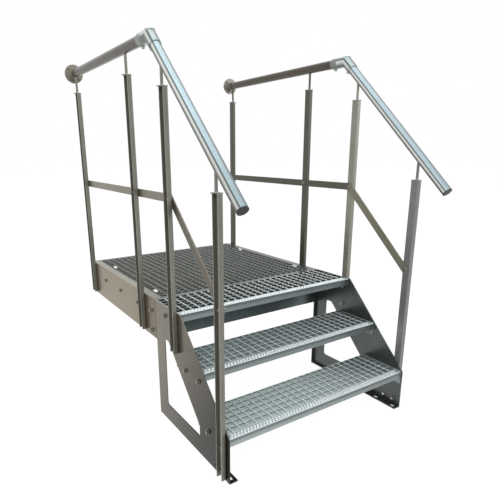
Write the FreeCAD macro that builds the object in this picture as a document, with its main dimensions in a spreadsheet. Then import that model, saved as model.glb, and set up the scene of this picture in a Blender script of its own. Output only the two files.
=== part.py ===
import FreeCAD, Part
import math
import os

import Sketcher
from FreeCAD import Placement, Rotation, Vector

# Galvanised steel outdoor stair: three grating steps, a platform that runs back to the wall,
# and a handrail on eight posts with a knee rail on both sides.
# The origin lies on the back face of the rear beam, where the platform meets the wall.
# +X is to the right of somebody who climbs the stair, +Y runs into the wall and +Z is up.

OUTPUT_FOLDER = "parts"
SHEET_NAME = "dims"

# Driving dimensions in millimetres and degrees.
DIMENSIONS = (
    ("inner_width", 1000, "clear width between the cheeks"),
    ("cheek_plate", 5, "thickness of the cheek and of the platform's side plate"),
    ("rise", 193, "height from one step to the next"),
    ("rise_count", 3, "number of rises from the ground to the platform"),
    ("going", 186, "distance from one nosing to the next"),
    ("nosing_setback", 6, "first nosing behind the front edge of the cheek"),
    ("tread_depth", 240, "depth of a step with its nosing"),
    ("tread_margin", 2, "cheek behind the back of the top step"),
    ("stringer_drop", 289, "upright depth of the sloping arm of the cheek"),
    ("leg_width", 85, "width of the rear leg of the cheek"),
    ("strut_height", 85, "height of the strut along the ground"),
    ("tip_run", 225, "front end of the opening in the cheek, behind the front edge"),
    ("opening_top", 418, "top of the opening in the cheek, above the ground"),
    ("opening_round", 14, "radius of the corners of the opening"),
    ("foot_width", 40, "width of the foot flange"),
    ("foot_length", 190, "length of the foot flange"),
    ("return_width", 20, "width of the stiffening flange behind the foot flange"),
    ("slot_length", 24, "length of an anchor slot"),
    ("slot_width", 12, "width of an anchor slot"),
    ("slot_front", 26, "front anchor slot behind the front edge"),
    ("slot_spacing", 102, "distance between the anchor slots"),
    ("spare_hole", 11, "diameter of the spare bolt holes"),
    ("foot_hole_run", 101, "spare hole in the cheek behind the front edge"),
    ("foot_hole_height", 27, "spare hole in the cheek above the ground"),
    ("plate_round", 4, "outer radius of the bends of the side plates"),
    ("platform_depth", 940, "depth of the platform behind the cheeks, up to the wall"),
    ("side_depth", 195, "depth of the frame of the platform"),
    ("frame_plate", 4, "thickness of the beams and flanges of the platform"),
    ("side_flange", 35, "width of the flanges on the side of the platform"),
    ("ledge_width", 60, "width of the ledge that carries the platform's grating"),
    ("beam_flange", 18, "width of the flanges on the front and rear beams"),
    ("side_hole_first", 223, "first spare hole behind the front end of the platform"),
    ("side_hole_spacing", 243, "distance between the spare holes of the platform"),
    ("side_hole_height", 123, "spare holes above the lower edge of the platform's frame"),
    ("bar_depth", 30, "depth of the bearing bars"),
    ("bar_width", 3, "thickness of the bearing bars"),
    ("bar_pitch", 34.3, "nominal distance between bearing bars"),
    ("rod_width", 5, "width of the cross rods"),
    ("rod_depth", 6, "depth of the cross rods"),
    ("rod_pitch", 38.1, "nominal distance between cross rods"),
    ("platform_rod_pitch", 152.4, "nominal distance between the thick rods of the platform"),
    ("end_plate", 3, "thickness of the end plates of a step"),
    ("end_plate_height", 65, "height of the end plates of a step"),
    ("nosing_plate", 3, "thickness of the nosing"),
    ("nosing_width", 30, "width of the top of the nosing"),
    ("nosing_height", 35, "height of the front of the nosing"),
    ("nosing_lip", 10, "width of the lip below the nosing"),
    ("nosing_edge", 2, "front edge of the nosing beyond its front face"),
    ("nosing_round", 2.5, "radius of the front edge of the nosing"),
    ("seat_gap", 0.3, "clearance where a tube or plug sits in another piece"),
    ("grating_gap", 1, "clearance round a grating"),
    ("post_width", 38, "width of a post across its web"),
    ("post_depth", 21, "depth of a post across its flanges"),
    ("post_plate", 3, "thickness of a post"),
    ("post_round", 4.5, "outer radius of the bends of a post"),
    ("foot_post_run", 40, "middle of the foot post behind the front edge"),
    ("front_post_offset", 44, "middle of the front platform post behind the top slope's end"),
    ("middle_post_offset", 142, "middle of the middle platform post behind the cheeks"),
    ("rear_post_inset", 40, "middle of the rear platform post in front of the wall"),
    ("foot_post_bottom", 10, "bottom of the foot post above the ground"),
    ("platform_post_bottom", 398, "bottom of the platform posts above the ground"),
    ("cap_plate", 4, "thickness of the cap on a post"),
    ("cap_edge", 1, "cap beyond the post on every side"),
    ("cap_drop", 102, "top of a cap below the axis of the handrail"),
    ("tab_length", 12, "length of the tab on a cap"),
    ("tab_width", 12, "width of the tab on a cap"),
    ("pin_diameter", 12, "diameter of the rod that carries the handrail"),
    ("pin_offset", 15, "rod and handrail outside the cheek"),
    ("saddle_length", 64, "length of the saddle below the handrail"),
    ("saddle_width", 26, "width of the saddle below the handrail"),
    ("saddle_plate", 3, "thickness of the saddle below the handrail"),
    ("rail_height", 1075, "axis of the handrail above the platform"),
    ("rail_diameter", 42.4, "outer diameter of the handrail"),
    ("rail_wall", 2.6, "wall of the handrail"),
    ("rail_slope", 44, "slope of the handrail beside the steps"),
    ("rail_overhang", 110, "lower end of the handrail in front of the cheek"),
    ("elbow_offset", 84, "pivot of the elbow behind the front platform post"),
    ("socket_diameter", 50, "outer diameter of the sockets and hubs on the handrail"),
    ("socket_length", 38, "length of a socket of the elbow"),
    ("rear_socket_start", 50, "start of the rear socket from the pivot"),
    ("front_socket_start", 22, "start of the front socket from the pivot"),
    ("socket_stop", 8, "solid end of a socket of the elbow"),
    ("joint_gap", 1, "gap between the halves of the elbow"),
    ("tongue_radius", 16, "radius of the tongue in the elbow"),
    ("tongue_width", 18, "width of the tongue in the elbow"),
    ("boss_diameter", 38, "diameter of the boss on top of the elbow"),
    ("boss_top", 22, "flat top of the boss above the axis of the handrail"),
    ("key_diameter", 24, "diameter of the round recess in the boss"),
    ("key_depth", 5, "depth of the round recess in the boss"),
    ("screw_diameter", 15, "diameter of the set screw bosses"),
    ("screw_height", 7, "height of the set screw bosses"),
    ("disc_diameter", 98, "diameter of the wall disc of the handrail"),
    ("disc_plate", 8, "thickness of the wall disc"),
    ("disc_hub", 30, "length of the hub on the wall disc"),
    ("disc_hole_circle", 76, "diameter of the circle of holes in the wall disc"),
    ("disc_hole", 9, "diameter of the holes in the wall disc"),
    ("plug_length", 16, "length of the end plug inside the handrail"),
    ("plug_head", 4, "thickness of the head of the end plug"),
    ("knee_height", 478, "axis of the knee rail above the platform"),
    ("knee_width", 35, "width of the knee rail"),
    ("knee_plate", 5, "thickness of the knee rail"),
    ("knee_end", 12, "knee rail beyond its lowest bolt"),
)

SIDES = (("left", -1), ("right", 1))
QUARTER_TURN = 90
SCREW_SHARE = 0.55
SIDE_HOLE_COUNT = 3
NEAR = 0.1


class Size:
    """A size that knows its value and the expression that gives it in the sheet's terms."""

    def __init__(self, value, text):
        self.value = float(value)
        self.text = text

    def __float__(self):
        return self.value

    def __add__(self, other):
        return combine(self, "+", other, self.value + float(other))

    def __sub__(self, other):
        return combine(self, "-", other, self.value - float(other))

    def __rsub__(self, other):
        return combine(other, "-", self, float(other) - self.value)

    def __mul__(self, other):
        return combine(self, "*", other, self.value * float(other))

    def __truediv__(self, other):
        return combine(self, "/", other, self.value / float(other))

    def __neg__(self):
        return self * -1

    __radd__ = __add__
    __rmul__ = __mul__


def text_of(amount):
    """Writes a size or a plain number as part of an expression."""
    return amount.text if isinstance(amount, Size) else f"({float(amount):g})"


def combine(first, sign, second, value):
    """Joins two amounts into one size."""
    return Size(value, f"({text_of(first)} {sign} {text_of(second)})")


def fixed(amount):
    """A size that no cell of the sheet holds."""
    return Size(amount, text_of(amount))


def tangent(angle):
    """The tangent of an angle in degrees."""
    return Size(math.tan(math.radians(float(angle))), f"tan({angle.text})")


def cosine(angle):
    """The cosine of an angle in degrees."""
    return Size(math.cos(math.radians(float(angle))), f"cos({angle.text})")


def sine(angle):
    """The sine of an angle in degrees."""
    return Size(math.sin(math.radians(float(angle))), f"sin({angle.text})")


def fill_sheet(document):
    """Writes the driving dimensions into the sheet and returns them as sizes."""
    sheet = document.addObject("Spreadsheet::Sheet", SHEET_NAME)
    sizes = {}
    for row, (alias, value, meaning) in enumerate(DIMENSIONS, start=1):
        sheet.set(f"A{row}", meaning)
        sheet.set(f"B{row}", f"{value}")
        sheet.setAlias(f"B{row}", alias)
        sizes[alias] = Size(value, f"{SHEET_NAME}.{alias}")
    document.recompute()
    return sizes


doc = FreeCAD.newDocument("outdoor_stair")
size = fill_sheet(doc)
finished = []

half_width = size["inner_width"] / 2
outer_face = half_width + size["cheek_plate"]
top_nosing_run = (size["rise_count"] - 1) * size["going"]
platform_top = size["rise_count"] * size["rise"]
cheek_length = size["nosing_setback"] + top_nosing_run + size["tread_depth"] + size["tread_margin"]
total_length = cheek_length + size["platform_depth"]
frame_bottom = platform_top - size["side_depth"]
front_y = -total_length
ground_z = size["side_depth"] / 2 - platform_top
rail_z = platform_top + size["rail_height"]
rail_x = outer_face + size["pin_offset"]
front_post_run = top_nosing_run + size["front_post_offset"]
middle_post_run = cheek_length + size["middle_post_offset"]
rear_post_run = total_length - size["rear_post_inset"]
elbow_run = front_post_run + size["elbow_offset"]
step_count = round(float(size["rise_count"]))


def along(run):
    """The place along Y of a distance behind the front edge of the cheeks."""
    return front_y + run


def up(height):
    """The place along Z of a height above the ground."""
    return ground_z + height


def rail_axis(run):
    """The height of the handrail's axis above the ground, at a run in front of the elbow."""
    return rail_z - (elbow_run - run) * tangent(size["rail_slope"])


def bind(item, **properties):
    """Binds properties of an object to sizes."""
    for name, amount in properties.items():
        item.setExpression(name, text_of(amount))
    return item


def place(item, x, y, z, axis=None, angle=0):
    """Puts an object at a point, turned about an axis by an angle."""
    turn = Rotation(axis, float(angle)) if axis else Rotation()
    item.Placement = Placement(Vector(float(x), float(y), float(z)), turn)
    for name, amount in zip("xyz", (x, y, z)):
        item.setExpression(f"Placement.Base.{name}", text_of(amount))
    if isinstance(angle, Size):
        item.setExpression("Placement.Rotation.Angle", angle.text)
    return item


def new_body(name):
    """Adds an empty body."""
    return doc.addObject("PartDesign::Body", name)


def plane_of(body, role):
    """Finds one of the origin planes of a body."""
    return next(feature for feature in body.Origin.OriginFeatures if feature.Role == role)


def new_sketch(body, role, name):
    """Adds a sketch on an origin plane of its body."""
    sketch = body.newObject("Sketcher::SketchObject", name)
    sketch.AttachmentSupport = [(plane_of(body, role), "")]
    sketch.MapMode = "FlatFace"
    return sketch


def hold(sketch, kind, amount, *place_in_sketch):
    """Adds a constraint and binds it to a size."""
    index = sketch.addConstraint(Sketcher.Constraint(kind, *place_in_sketch, float(amount)))
    sketch.setExpression(f"Constraints[{index}]", text_of(amount))


def add_outline(sketch, corners):
    """Draws a closed outline of straight lines with each corner held by two sizes."""
    points = [Vector(float(x), float(y), 0) for x, y in corners]
    first = sketch.GeometryCount
    count = len(points)
    for index, point in enumerate(points):
        sketch.addGeometry(Part.LineSegment(point, points[(index + 1) % count]), False)
    for index in range(count):
        following = first + (index + 1) % count
        sketch.addConstraint(Sketcher.Constraint("Coincident", first + index, 2, following, 1))
    for index, (x, y) in enumerate(corners):
        hold(sketch, "DistanceX", x, -1, 1, first + index, 1)
        hold(sketch, "DistanceY", y, -1, 1, first + index, 1)


def outline_sketch(body, role, name, *outlines):
    """Adds a sketch that holds one or more closed outlines."""
    sketch = new_sketch(body, role, name)
    for corners in outlines:
        add_outline(sketch, corners)
    return sketch


def rectangle(x_low, y_low, x_high, y_high):
    """The corners of a rectangle."""
    return ((x_low, y_low), (x_high, y_low), (x_high, y_high), (x_low, y_high))


def add_circle(sketch, x, y, diameter):
    """Draws a circle held by its middle and its diameter."""
    centre = Vector(float(x), float(y), 0)
    index = sketch.addGeometry(Part.Circle(centre, Vector(0, 0, 1), float(diameter) / 2), False)
    hold(sketch, "DistanceX", x, -1, 1, index, 3)
    hold(sketch, "DistanceY", y, -1, 1, index, 3)
    hold(sketch, "Diameter", diameter, index)


def add_slot(sketch, x, y, length, width):
    """Draws a slot along the sketch's Y axis, held by its middle, length and width."""
    radius = width / 2
    reach = length / 2 - radius
    upper = Vector(float(x), float(y + reach), 0)
    lower = Vector(float(x), float(y - reach), 0)
    normal = Vector(0, 0, 1)
    shift = Vector(float(radius), 0, 0)
    top = sketch.addGeometry(
        Part.ArcOfCircle(Part.Circle(upper, normal, float(radius)), 0, math.pi), False)
    left = sketch.addGeometry(Part.LineSegment(upper - shift, lower - shift), False)
    bottom = sketch.addGeometry(
        Part.ArcOfCircle(Part.Circle(lower, normal, float(radius)), math.pi, 2 * math.pi), False)
    right = sketch.addGeometry(Part.LineSegment(lower + shift, upper + shift), False)
    sketch.addConstraint(Sketcher.Constraint("Tangent", top, 2, left, 1))
    sketch.addConstraint(Sketcher.Constraint("Tangent", left, 2, bottom, 1))
    sketch.addConstraint(Sketcher.Constraint("Tangent", bottom, 2, right, 1))
    sketch.addConstraint(Sketcher.Constraint("Tangent", right, 2, top, 1))
    hold(sketch, "DistanceX", x, -1, 1, top, 3)
    hold(sketch, "DistanceY", y + reach, -1, 1, top, 3)
    hold(sketch, "DistanceY", y - reach, -1, 1, bottom, 3)
    hold(sketch, "Radius", radius, top)


def add_pad(body, sketch, length, backwards=False):
    """Pads a sketch of a body."""
    pad = body.newObject("PartDesign::Pad", f"{sketch.Name}_pad")
    pad.Profile = sketch
    pad.Reversed = backwards
    bind(pad, Length=length)
    sketch.Visibility = False
    return pad


def add_pocket(body, sketch):
    """Cuts a sketch through a body, both ways, and checks that it took something away."""
    doc.recompute()
    before = body.Shape.Volume
    pocket = body.newObject("PartDesign::Pocket", f"{sketch.Name}_pocket")
    pocket.Profile = sketch
    pocket.Type = "ThroughAll"
    pocket.Midplane = True
    sketch.Visibility = False
    doc.recompute()
    if body.Shape.Volume >= before:
        raise RuntimeError(f"{pocket.Name} cut nothing")
    return pocket


def finish(item, label):
    """Names a finished piece and keeps it for export."""
    item.Label = label
    finished.append(item)
    return item


def add_shape(name, shape):
    """Adds a piece whose shape comes from a function."""
    item = doc.addObject("Part::Feature", name)
    item.Shape = shape
    return item


def add_cylinder(name, diameter, length, x, y, z, axis=None, angle=0):
    """Adds a cylinder that starts at a point and runs along the turned Z axis."""
    item = doc.addObject("Part::Cylinder", name)
    bind(item, Radius=diameter / 2, Height=length)
    return place(item, x, y, z, axis, angle)


def add_box(name, length, width, height, x, y, z):
    """Adds a box from its low corner."""
    item = doc.addObject("Part::Box", name)
    bind(item, Length=length, Width=width, Height=height)
    return place(item, x, y, z)


def fuse(name, pieces):
    """Joins pieces into one solid."""
    item = doc.addObject("Part::MultiFuse", name)
    item.Shapes = pieces
    item.Refine = True
    return item


def cut(name, base, tool):
    """Takes one piece away from another."""
    item = doc.addObject("Part::Cut", name)
    item.Base = base
    item.Tool = tool
    item.Refine = True
    return item


def stringer_underside(run):
    """The height of the underside of the cheek's sloping arm above the ground."""
    return size["rise"] + run * size["rise"] / size["going"] - size["stringer_drop"]


def round_edges(body, along_axis, corners, radius):
    """Rounds the edges of a body that run along one axis and stand on the given corners."""
    doc.recompute()
    base = body.Tip
    others = [axis for axis in "xyz" if axis != along_axis]
    names = []
    for number, edge in enumerate(base.Shape.Edges, start=1):
        ends = [vertex.Point for vertex in edge.Vertexes]
        if len(ends) != 2:
            continue
        middle = edge.CenterOfMass
        shift = [abs(getattr(ends[0], axis) - getattr(ends[1], axis)) for axis in others]
        off = [
            abs(getattr(middle, others[0]) - float(first))
            + abs(getattr(middle, others[1]) - float(second))
            for first, second in corners
        ]
        if sum(shift) < NEAR and min(off) < NEAR:
            names.append(f"Edge{number}")
    if not names:
        raise RuntimeError(f"{body.Name} has no edge to round")
    rounding = body.newObject("PartDesign::Fillet", f"{base.Name}_rounding")
    rounding.Base = (base, names)
    bind(rounding, Radius=radius)
    doc.recompute()
    return rounding


def make_cheek(label, side):
    """One cheek: a plate with a rounded opening, a foot flange with slots and a return flange."""
    body = new_body(f"cheek_{label}_body")
    place(body, side * outer_face, front_y, ground_z)
    backwards = side > 0
    plate = size["cheek_plate"]
    leg_front = cheek_length - size["leg_width"]
    top_run = (size["opening_top"] - size["rise"] + size["stringer_drop"]) * size["going"]
    top_run = top_run / size["rise"]
    outline = (
        (0, 0),
        (0, size["rise"]),
        (top_nosing_run, platform_top),
        (cheek_length, platform_top),
        (cheek_length, 0),
    )
    opening = (
        (leg_front, size["strut_height"]),
        (size["tip_run"], size["strut_height"]),
        (size["tip_run"], stringer_underside(size["tip_run"])),
        (top_run, size["opening_top"]),
        (leg_front, size["opening_top"]),
    )
    web = outline_sketch(body, "YZ_Plane", f"cheek_{label}_web", outline, opening)
    add_pad(body, web, plate, backwards)
    round_edges(body, "x", opening, size["opening_round"])
    foot = outline_sketch(body, "YZ_Plane", f"cheek_{label}_foot",
                          rectangle(0, 0, size["foot_length"], plate))
    add_pad(body, foot, size["foot_width"], backwards)
    returns = (
        (size["foot_length"], 0),
        (cheek_length, 0),
        (cheek_length, frame_bottom),
        (cheek_length - plate, frame_bottom),
        (cheek_length - plate, plate),
        (size["foot_length"], plate),
    )
    rim = outline_sketch(body, "YZ_Plane", f"cheek_{label}_rim", returns)
    add_pad(body, rim, size["return_width"], backwards)
    round_edges(body, "y", ((0, 0),), size["plate_round"])
    spare = new_sketch(body, "YZ_Plane", f"cheek_{label}_spare_hole")
    add_circle(spare, size["foot_hole_run"], size["foot_hole_height"], size["spare_hole"])
    add_pocket(body, spare)
    slots = new_sketch(body, "XY_Plane", f"cheek_{label}_slots")
    slot_x = -side * (size["foot_width"] + plate) / 2
    for slot_run in (size["slot_front"], size["slot_front"] + size["slot_spacing"]):
        add_slot(slots, slot_x, slot_run, size["slot_length"], size["slot_width"])
    add_pocket(body, slots)
    finish(body, f"cheek_{label}")


def step_place(number):
    """The run and height of the nosing of a step, counted from the ground."""
    run = size["nosing_setback"] + (number - 1) * size["going"]
    return run, number * size["rise"]


def bar_places(start, end, pitch):
    """Evenly spaced middles from start to end at about the given pitch."""
    gaps = max(1, round((end - start) / pitch))
    return [start + (end - start) * index / gaps for index in range(gaps + 1)]


def lattice(length, run_start, run_end, rod_pitch, rod_start):
    """Bearing bars along X, fused with cross rods that lie flush with their tops."""
    bar = float(size["bar_width"])
    depth = float(size["bar_depth"])
    rod = float(size["rod_width"])
    rod_depth = float(size["rod_depth"])
    bars = [
        Part.makeBox(length, bar, depth, Vector(-length / 2, middle - bar / 2, -depth))
        for middle in bar_places(run_start + bar / 2, run_end - bar / 2, float(size["bar_pitch"]))
    ]
    rods = [
        Part.makeBox(rod, run_end - bar / 2 - rod_start, rod_depth,
                     Vector(middle - rod / 2, rod_start, -rod_depth))
        for middle in bar_places(-length / 2, length / 2, rod_pitch)[1:-1]
    ]
    return bars[0].multiFuse(bars[1:] + rods)


def make_step_shape():
    """The welded grating of a step with its two end plates, with the nosing's corner at zero."""
    plate = float(size["end_plate"])
    length = float(size["inner_width"]) - 2 * plate
    depth = float(size["tread_depth"])
    height = float(size["end_plate_height"])
    rod_start = float(size["nosing_width"])
    grid = lattice(length, rod_start + float(size["grating_gap"]), depth,
                   float(size["rod_pitch"]), rod_start)
    ends = [
        Part.makeBox(plate, depth, height, Vector(x, 0, -height))
        for x in (-length / 2 - plate, length / 2)
    ]
    return grid.multiFuse(ends).removeSplitter()


def make_step(name, number, shape):
    """One step: its grating and its nosing."""
    run, height = step_place(number)
    grating = add_shape(f"{name}_grating_shape", shape.copy())
    grating.Placement = Placement(Vector(0, float(along(run)), float(up(height))), Rotation())
    finish(grating, f"{name}_grating")

    body = new_body(f"{name}_nosing_body")
    place(body, -(half_width - size["end_plate"]), along(run), up(height))
    plate = size["nosing_plate"]
    bottom = -size["nosing_height"]
    face = size["nosing_edge"]
    profile = (
        (0, 0),
        (size["nosing_width"], 0),
        (size["nosing_width"], -plate),
        (face + plate, -plate),
        (face + plate, bottom + plate),
        (size["nosing_lip"], bottom + plate),
        (size["nosing_lip"], bottom),
        (face, bottom),
        (face, -plate),
        (0, -plate),
    )
    sketch = outline_sketch(body, "YZ_Plane", f"{name}_nosing_profile", profile)
    add_pad(body, sketch, size["inner_width"] - 2 * size["end_plate"])
    round_edges(body, "x", ((0, 0),), size["nosing_round"])
    finish(body, f"{name}_nosing")


def make_platform_side(label, side):
    """One side of the platform: a plate with two flanges and a ledge for the grating."""
    body = new_body(f"platform_side_{label}_body")
    place(body, side * outer_face, along(cheek_length), up(frame_bottom))
    backwards = side > 0
    plate = size["frame_plate"]
    depth = size["platform_depth"]
    web = outline_sketch(body, "YZ_Plane", f"platform_side_{label}_web",
                         rectangle(0, 0, depth, size["side_depth"]))
    add_pad(body, web, size["cheek_plate"], backwards)
    inset = plate + size["beam_flange"]
    ledge_top = size["side_depth"] - size["bar_depth"]
    for part, low, width in (
        ("lower", 0, size["side_flange"]),
        ("ledge", ledge_top - plate, size["ledge_width"]),
        ("upper", size["side_depth"] - plate, size["side_flange"]),
    ):
        strip = outline_sketch(body, "YZ_Plane", f"platform_side_{label}_{part}",
                               rectangle(inset, low, depth - inset, low + plate))
        add_pad(body, strip, width + size["cheek_plate"], backwards)
    round_edges(body, "y", ((0, 0), (0, size["side_depth"])), size["plate_round"])
    holes = new_sketch(body, "YZ_Plane", f"platform_side_{label}_holes")
    for number in range(SIDE_HOLE_COUNT):
        add_circle(holes, size["side_hole_first"] + number * size["side_hole_spacing"],
                   size["side_hole_height"], size["spare_hole"])
    add_pocket(body, holes)
    finish(body, f"platform_side_{label}")


def make_beam(name, back_run, facing):
    """A channel across the platform, with its web at back_run and flanges that face one way."""
    body = new_body(f"{name}_body")
    place(body, -half_width, along(back_run), up(frame_bottom))
    plate = size["frame_plate"]
    reach = plate + size["beam_flange"]
    depth = size["side_depth"]
    profile = (
        (0, 0),
        (facing * reach, 0),
        (facing * reach, plate),
        (facing * plate, plate),
        (facing * plate, depth - plate),
        (facing * reach, depth - plate),
        (facing * reach, depth),
        (0, depth),
    )
    sketch = outline_sketch(body, "YZ_Plane", f"{name}_profile", profile)
    add_pad(body, sketch, size["inner_width"])
    finish(body, name)


def make_platform_grating():
    """The grating of the platform, on the ledges between its side flanges."""
    gap = float(size["grating_gap"])
    inset = float(size["frame_plate"] + size["beam_flange"]) + gap
    length = float(size["inner_width"]) - 2 * (float(size["side_flange"]) + gap)
    bar = float(size["bar_width"])
    depth = float(size["bar_depth"])
    run_end = float(size["platform_depth"]) - inset
    grid = lattice(length - 2 * bar, inset, run_end, float(size["platform_rod_pitch"]),
                   inset + bar / 2)
    bands = [
        Part.makeBox(bar, run_end - inset, depth, Vector(x, inset, -depth))
        for x in (-length / 2, length / 2 - bar)
    ]
    item = add_shape("platform_grating_shape", grid.multiFuse(bands).removeSplitter())
    item.Placement = Placement(
        Vector(0, float(along(cheek_length)), float(up(platform_top))), Rotation())
    finish(item, "platform_grating")


def make_post(place_name, label, side, run, bottom, sloping):
    """One post: a channel open to the outside, with a cap, a rod and a saddle for the handrail."""
    name = f"post_{place_name}_{label}"
    axis_z = rail_axis(run) if sloping else rail_z
    cap_top = axis_z - size["cap_drop"]
    width = size["post_width"]
    plate = size["post_plate"]
    depth = side * size["post_depth"]
    body = new_body(f"{name}_channel")
    place(body, side * outer_face, along(run), up(bottom))
    profile = (
        (0, -width / 2),
        (depth, -width / 2),
        (depth, plate - width / 2),
        (side * plate, plate - width / 2),
        (side * plate, width / 2 - plate),
        (depth, width / 2 - plate),
        (depth, width / 2),
        (0, width / 2),
    )
    sketch = outline_sketch(body, "XY_Plane", f"{name}_profile", profile)
    add_pad(body, sketch, cap_top - size["cap_plate"] - bottom)
    inside = width / 2 - plate
    round_edges(body, "z", ((0, -width / 2), (0, width / 2)), size["post_round"])
    round_edges(body, "z", ((side * plate, -inside), (side * plate, inside)),
                size["post_round"] - plate)

    edge = size["cap_edge"]
    cap_reach = size["post_depth"] + edge
    tab_reach = cap_reach + size["tab_length"]
    cap = new_body(f"{name}_cap")
    place(cap, side * outer_face, along(run), up(cap_top - size["cap_plate"]))
    cap_outline = (
        (0, -(width / 2 + edge)),
        (side * cap_reach, -(width / 2 + edge)),
        (side * cap_reach, -size["tab_width"] / 2),
        (side * tab_reach, -size["tab_width"] / 2),
        (side * tab_reach, size["tab_width"] / 2),
        (side * cap_reach, size["tab_width"] / 2),
        (side * cap_reach, width / 2 + edge),
        (0, width / 2 + edge),
    )
    cap_sketch = outline_sketch(cap, "XY_Plane", f"{name}_cap_outline", cap_outline)
    add_pad(cap, cap_sketch, size["cap_plate"])

    centre = (side * rail_x, along(run), up(axis_z))
    rod = add_cylinder(f"{name}_rod", size["pin_diameter"], size["cap_drop"],
                       side * rail_x, along(run), up(cap_top))
    angle = size["rail_slope"] - QUARTER_TURN if sloping else fixed(-QUARTER_TURN)
    lean = QUARTER_TURN + angle
    half = size["saddle_length"] / 2
    start = (centre[0], centre[1] - half * cosine(lean), centre[2] - half * sine(lean))
    seat = size["rail_diameter"] + 2 * size["seat_gap"]
    shell = add_cylinder(f"{name}_shell", seat + 2 * size["saddle_plate"],
                         size["saddle_length"], *start, Vector(1, 0, 0), angle)
    keep = doc.addObject("Part::Box", f"{name}_keep")
    bind(keep, Length=size["saddle_width"], Width=seat, Height=size["saddle_length"])
    low = (
        start[0] - size["saddle_width"] / 2,
        start[1] + seat * sine(lean),
        start[2] - seat * cosine(lean),
    )
    place(keep, *low, Vector(1, 0, 0), angle)
    saddle = doc.addObject("Part::Common", f"{name}_saddle")
    saddle.Base = shell
    saddle.Tool = keep
    whole = fuse(f"{name}_whole", [body, cap, rod, saddle])
    reach = 2 * size["saddle_length"]
    far = (centre[0], centre[1] - reach * cosine(lean), centre[2] - reach * sine(lean))
    space = add_cylinder(f"{name}_space", seat, 2 * reach, *far, Vector(1, 0, 0), angle)
    finish(cut(f"{name}_cut", whole, space), name)


def make_tube(name, start, length, angle):
    """A straight stretch of handrail that runs back and up from its start."""
    outer = add_cylinder(f"{name}_outer", size["rail_diameter"], length, *start,
                         Vector(1, 0, 0), angle)
    inner = add_cylinder(f"{name}_inner", size["rail_diameter"] - 2 * size["rail_wall"],
                         length, *start, Vector(1, 0, 0), angle)
    finish(cut(f"{name}_cut", outer, inner), name)


def down_slope(distance):
    """The run and the height above the ground of a point down the slope from the elbow."""
    run = elbow_run - distance * cosine(size["rail_slope"])
    return run, rail_z - distance * sine(size["rail_slope"])


def make_handrail(label, side):
    """The level and the sloping tube of one handrail, with the plug in the lower end."""
    x = side * rail_x
    inset = size["socket_stop"] + size["seat_gap"]
    level_start = elbow_run + size["rear_socket_start"] + inset
    level_end = total_length - size["disc_plate"] - size["seat_gap"]
    make_tube(f"handrail_level_{label}", (x, along(level_start), up(rail_z)),
              level_end - level_start, fixed(-QUARTER_TURN))
    slope = size["rail_slope"]
    reach = (elbow_run + size["rail_overhang"]) / cosine(slope)
    near = size["front_socket_start"] + inset
    lower_run, lower_z = down_slope(reach)
    turned = slope - QUARTER_TURN
    make_tube(f"handrail_slope_{label}", (x, along(lower_run), up(lower_z)), reach - near, turned)

    head_run, head_z = down_slope(reach + size["plug_head"] + size["seat_gap"])
    head = add_cylinder(f"end_plug_{label}_head", size["rail_diameter"],
                        size["plug_head"], x, along(head_run), up(head_z),
                        Vector(1, 0, 0), turned)
    bore = size["rail_diameter"] - 2 * size["rail_wall"] - 2 * size["seat_gap"]
    stem = add_cylinder(f"end_plug_{label}_stem", bore, size["plug_head"] + size["plug_length"],
                        x, along(head_run), up(head_z), Vector(1, 0, 0), turned)
    finish(fuse(f"end_plug_{label}_whole", [head, stem]), f"end_plug_{label}")


def make_socket(name, x, slope_angle, sense, start):
    """One socket of an elbow, at a distance from the pivot, with its set screw boss below."""
    run_step = sense * cosine(slope_angle)
    height_step = sense * sine(slope_angle)
    turned = slope_angle - QUARTER_TURN if sense > 0 else slope_angle + QUARTER_TURN
    origin = (x, along(elbow_run + start * run_step), up(rail_z + start * height_step))
    sleeve = add_cylinder(f"{name}_sleeve", size["socket_diameter"], size["socket_length"],
                          *origin, Vector(1, 0, 0), turned)
    inside = start + size["socket_stop"]
    bore = add_cylinder(f"{name}_bore", size["rail_diameter"] + 2 * size["seat_gap"],
                        size["socket_length"], x,
                        along(elbow_run + inside * run_step),
                        up(rail_z + inside * height_step), Vector(1, 0, 0), turned)
    middle = start + size["socket_length"] * SCREW_SHARE
    reach = size["socket_diameter"] / 2 + size["screw_height"]
    screw = add_cylinder(
        f"{name}_screw", size["screw_diameter"], reach, x,
        along(elbow_run + middle * run_step + reach * sine(slope_angle)),
        up(rail_z + middle * height_step - reach * cosine(slope_angle)),
        Vector(1, 0, 0), slope_angle)
    return sleeve, screw, bore


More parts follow.
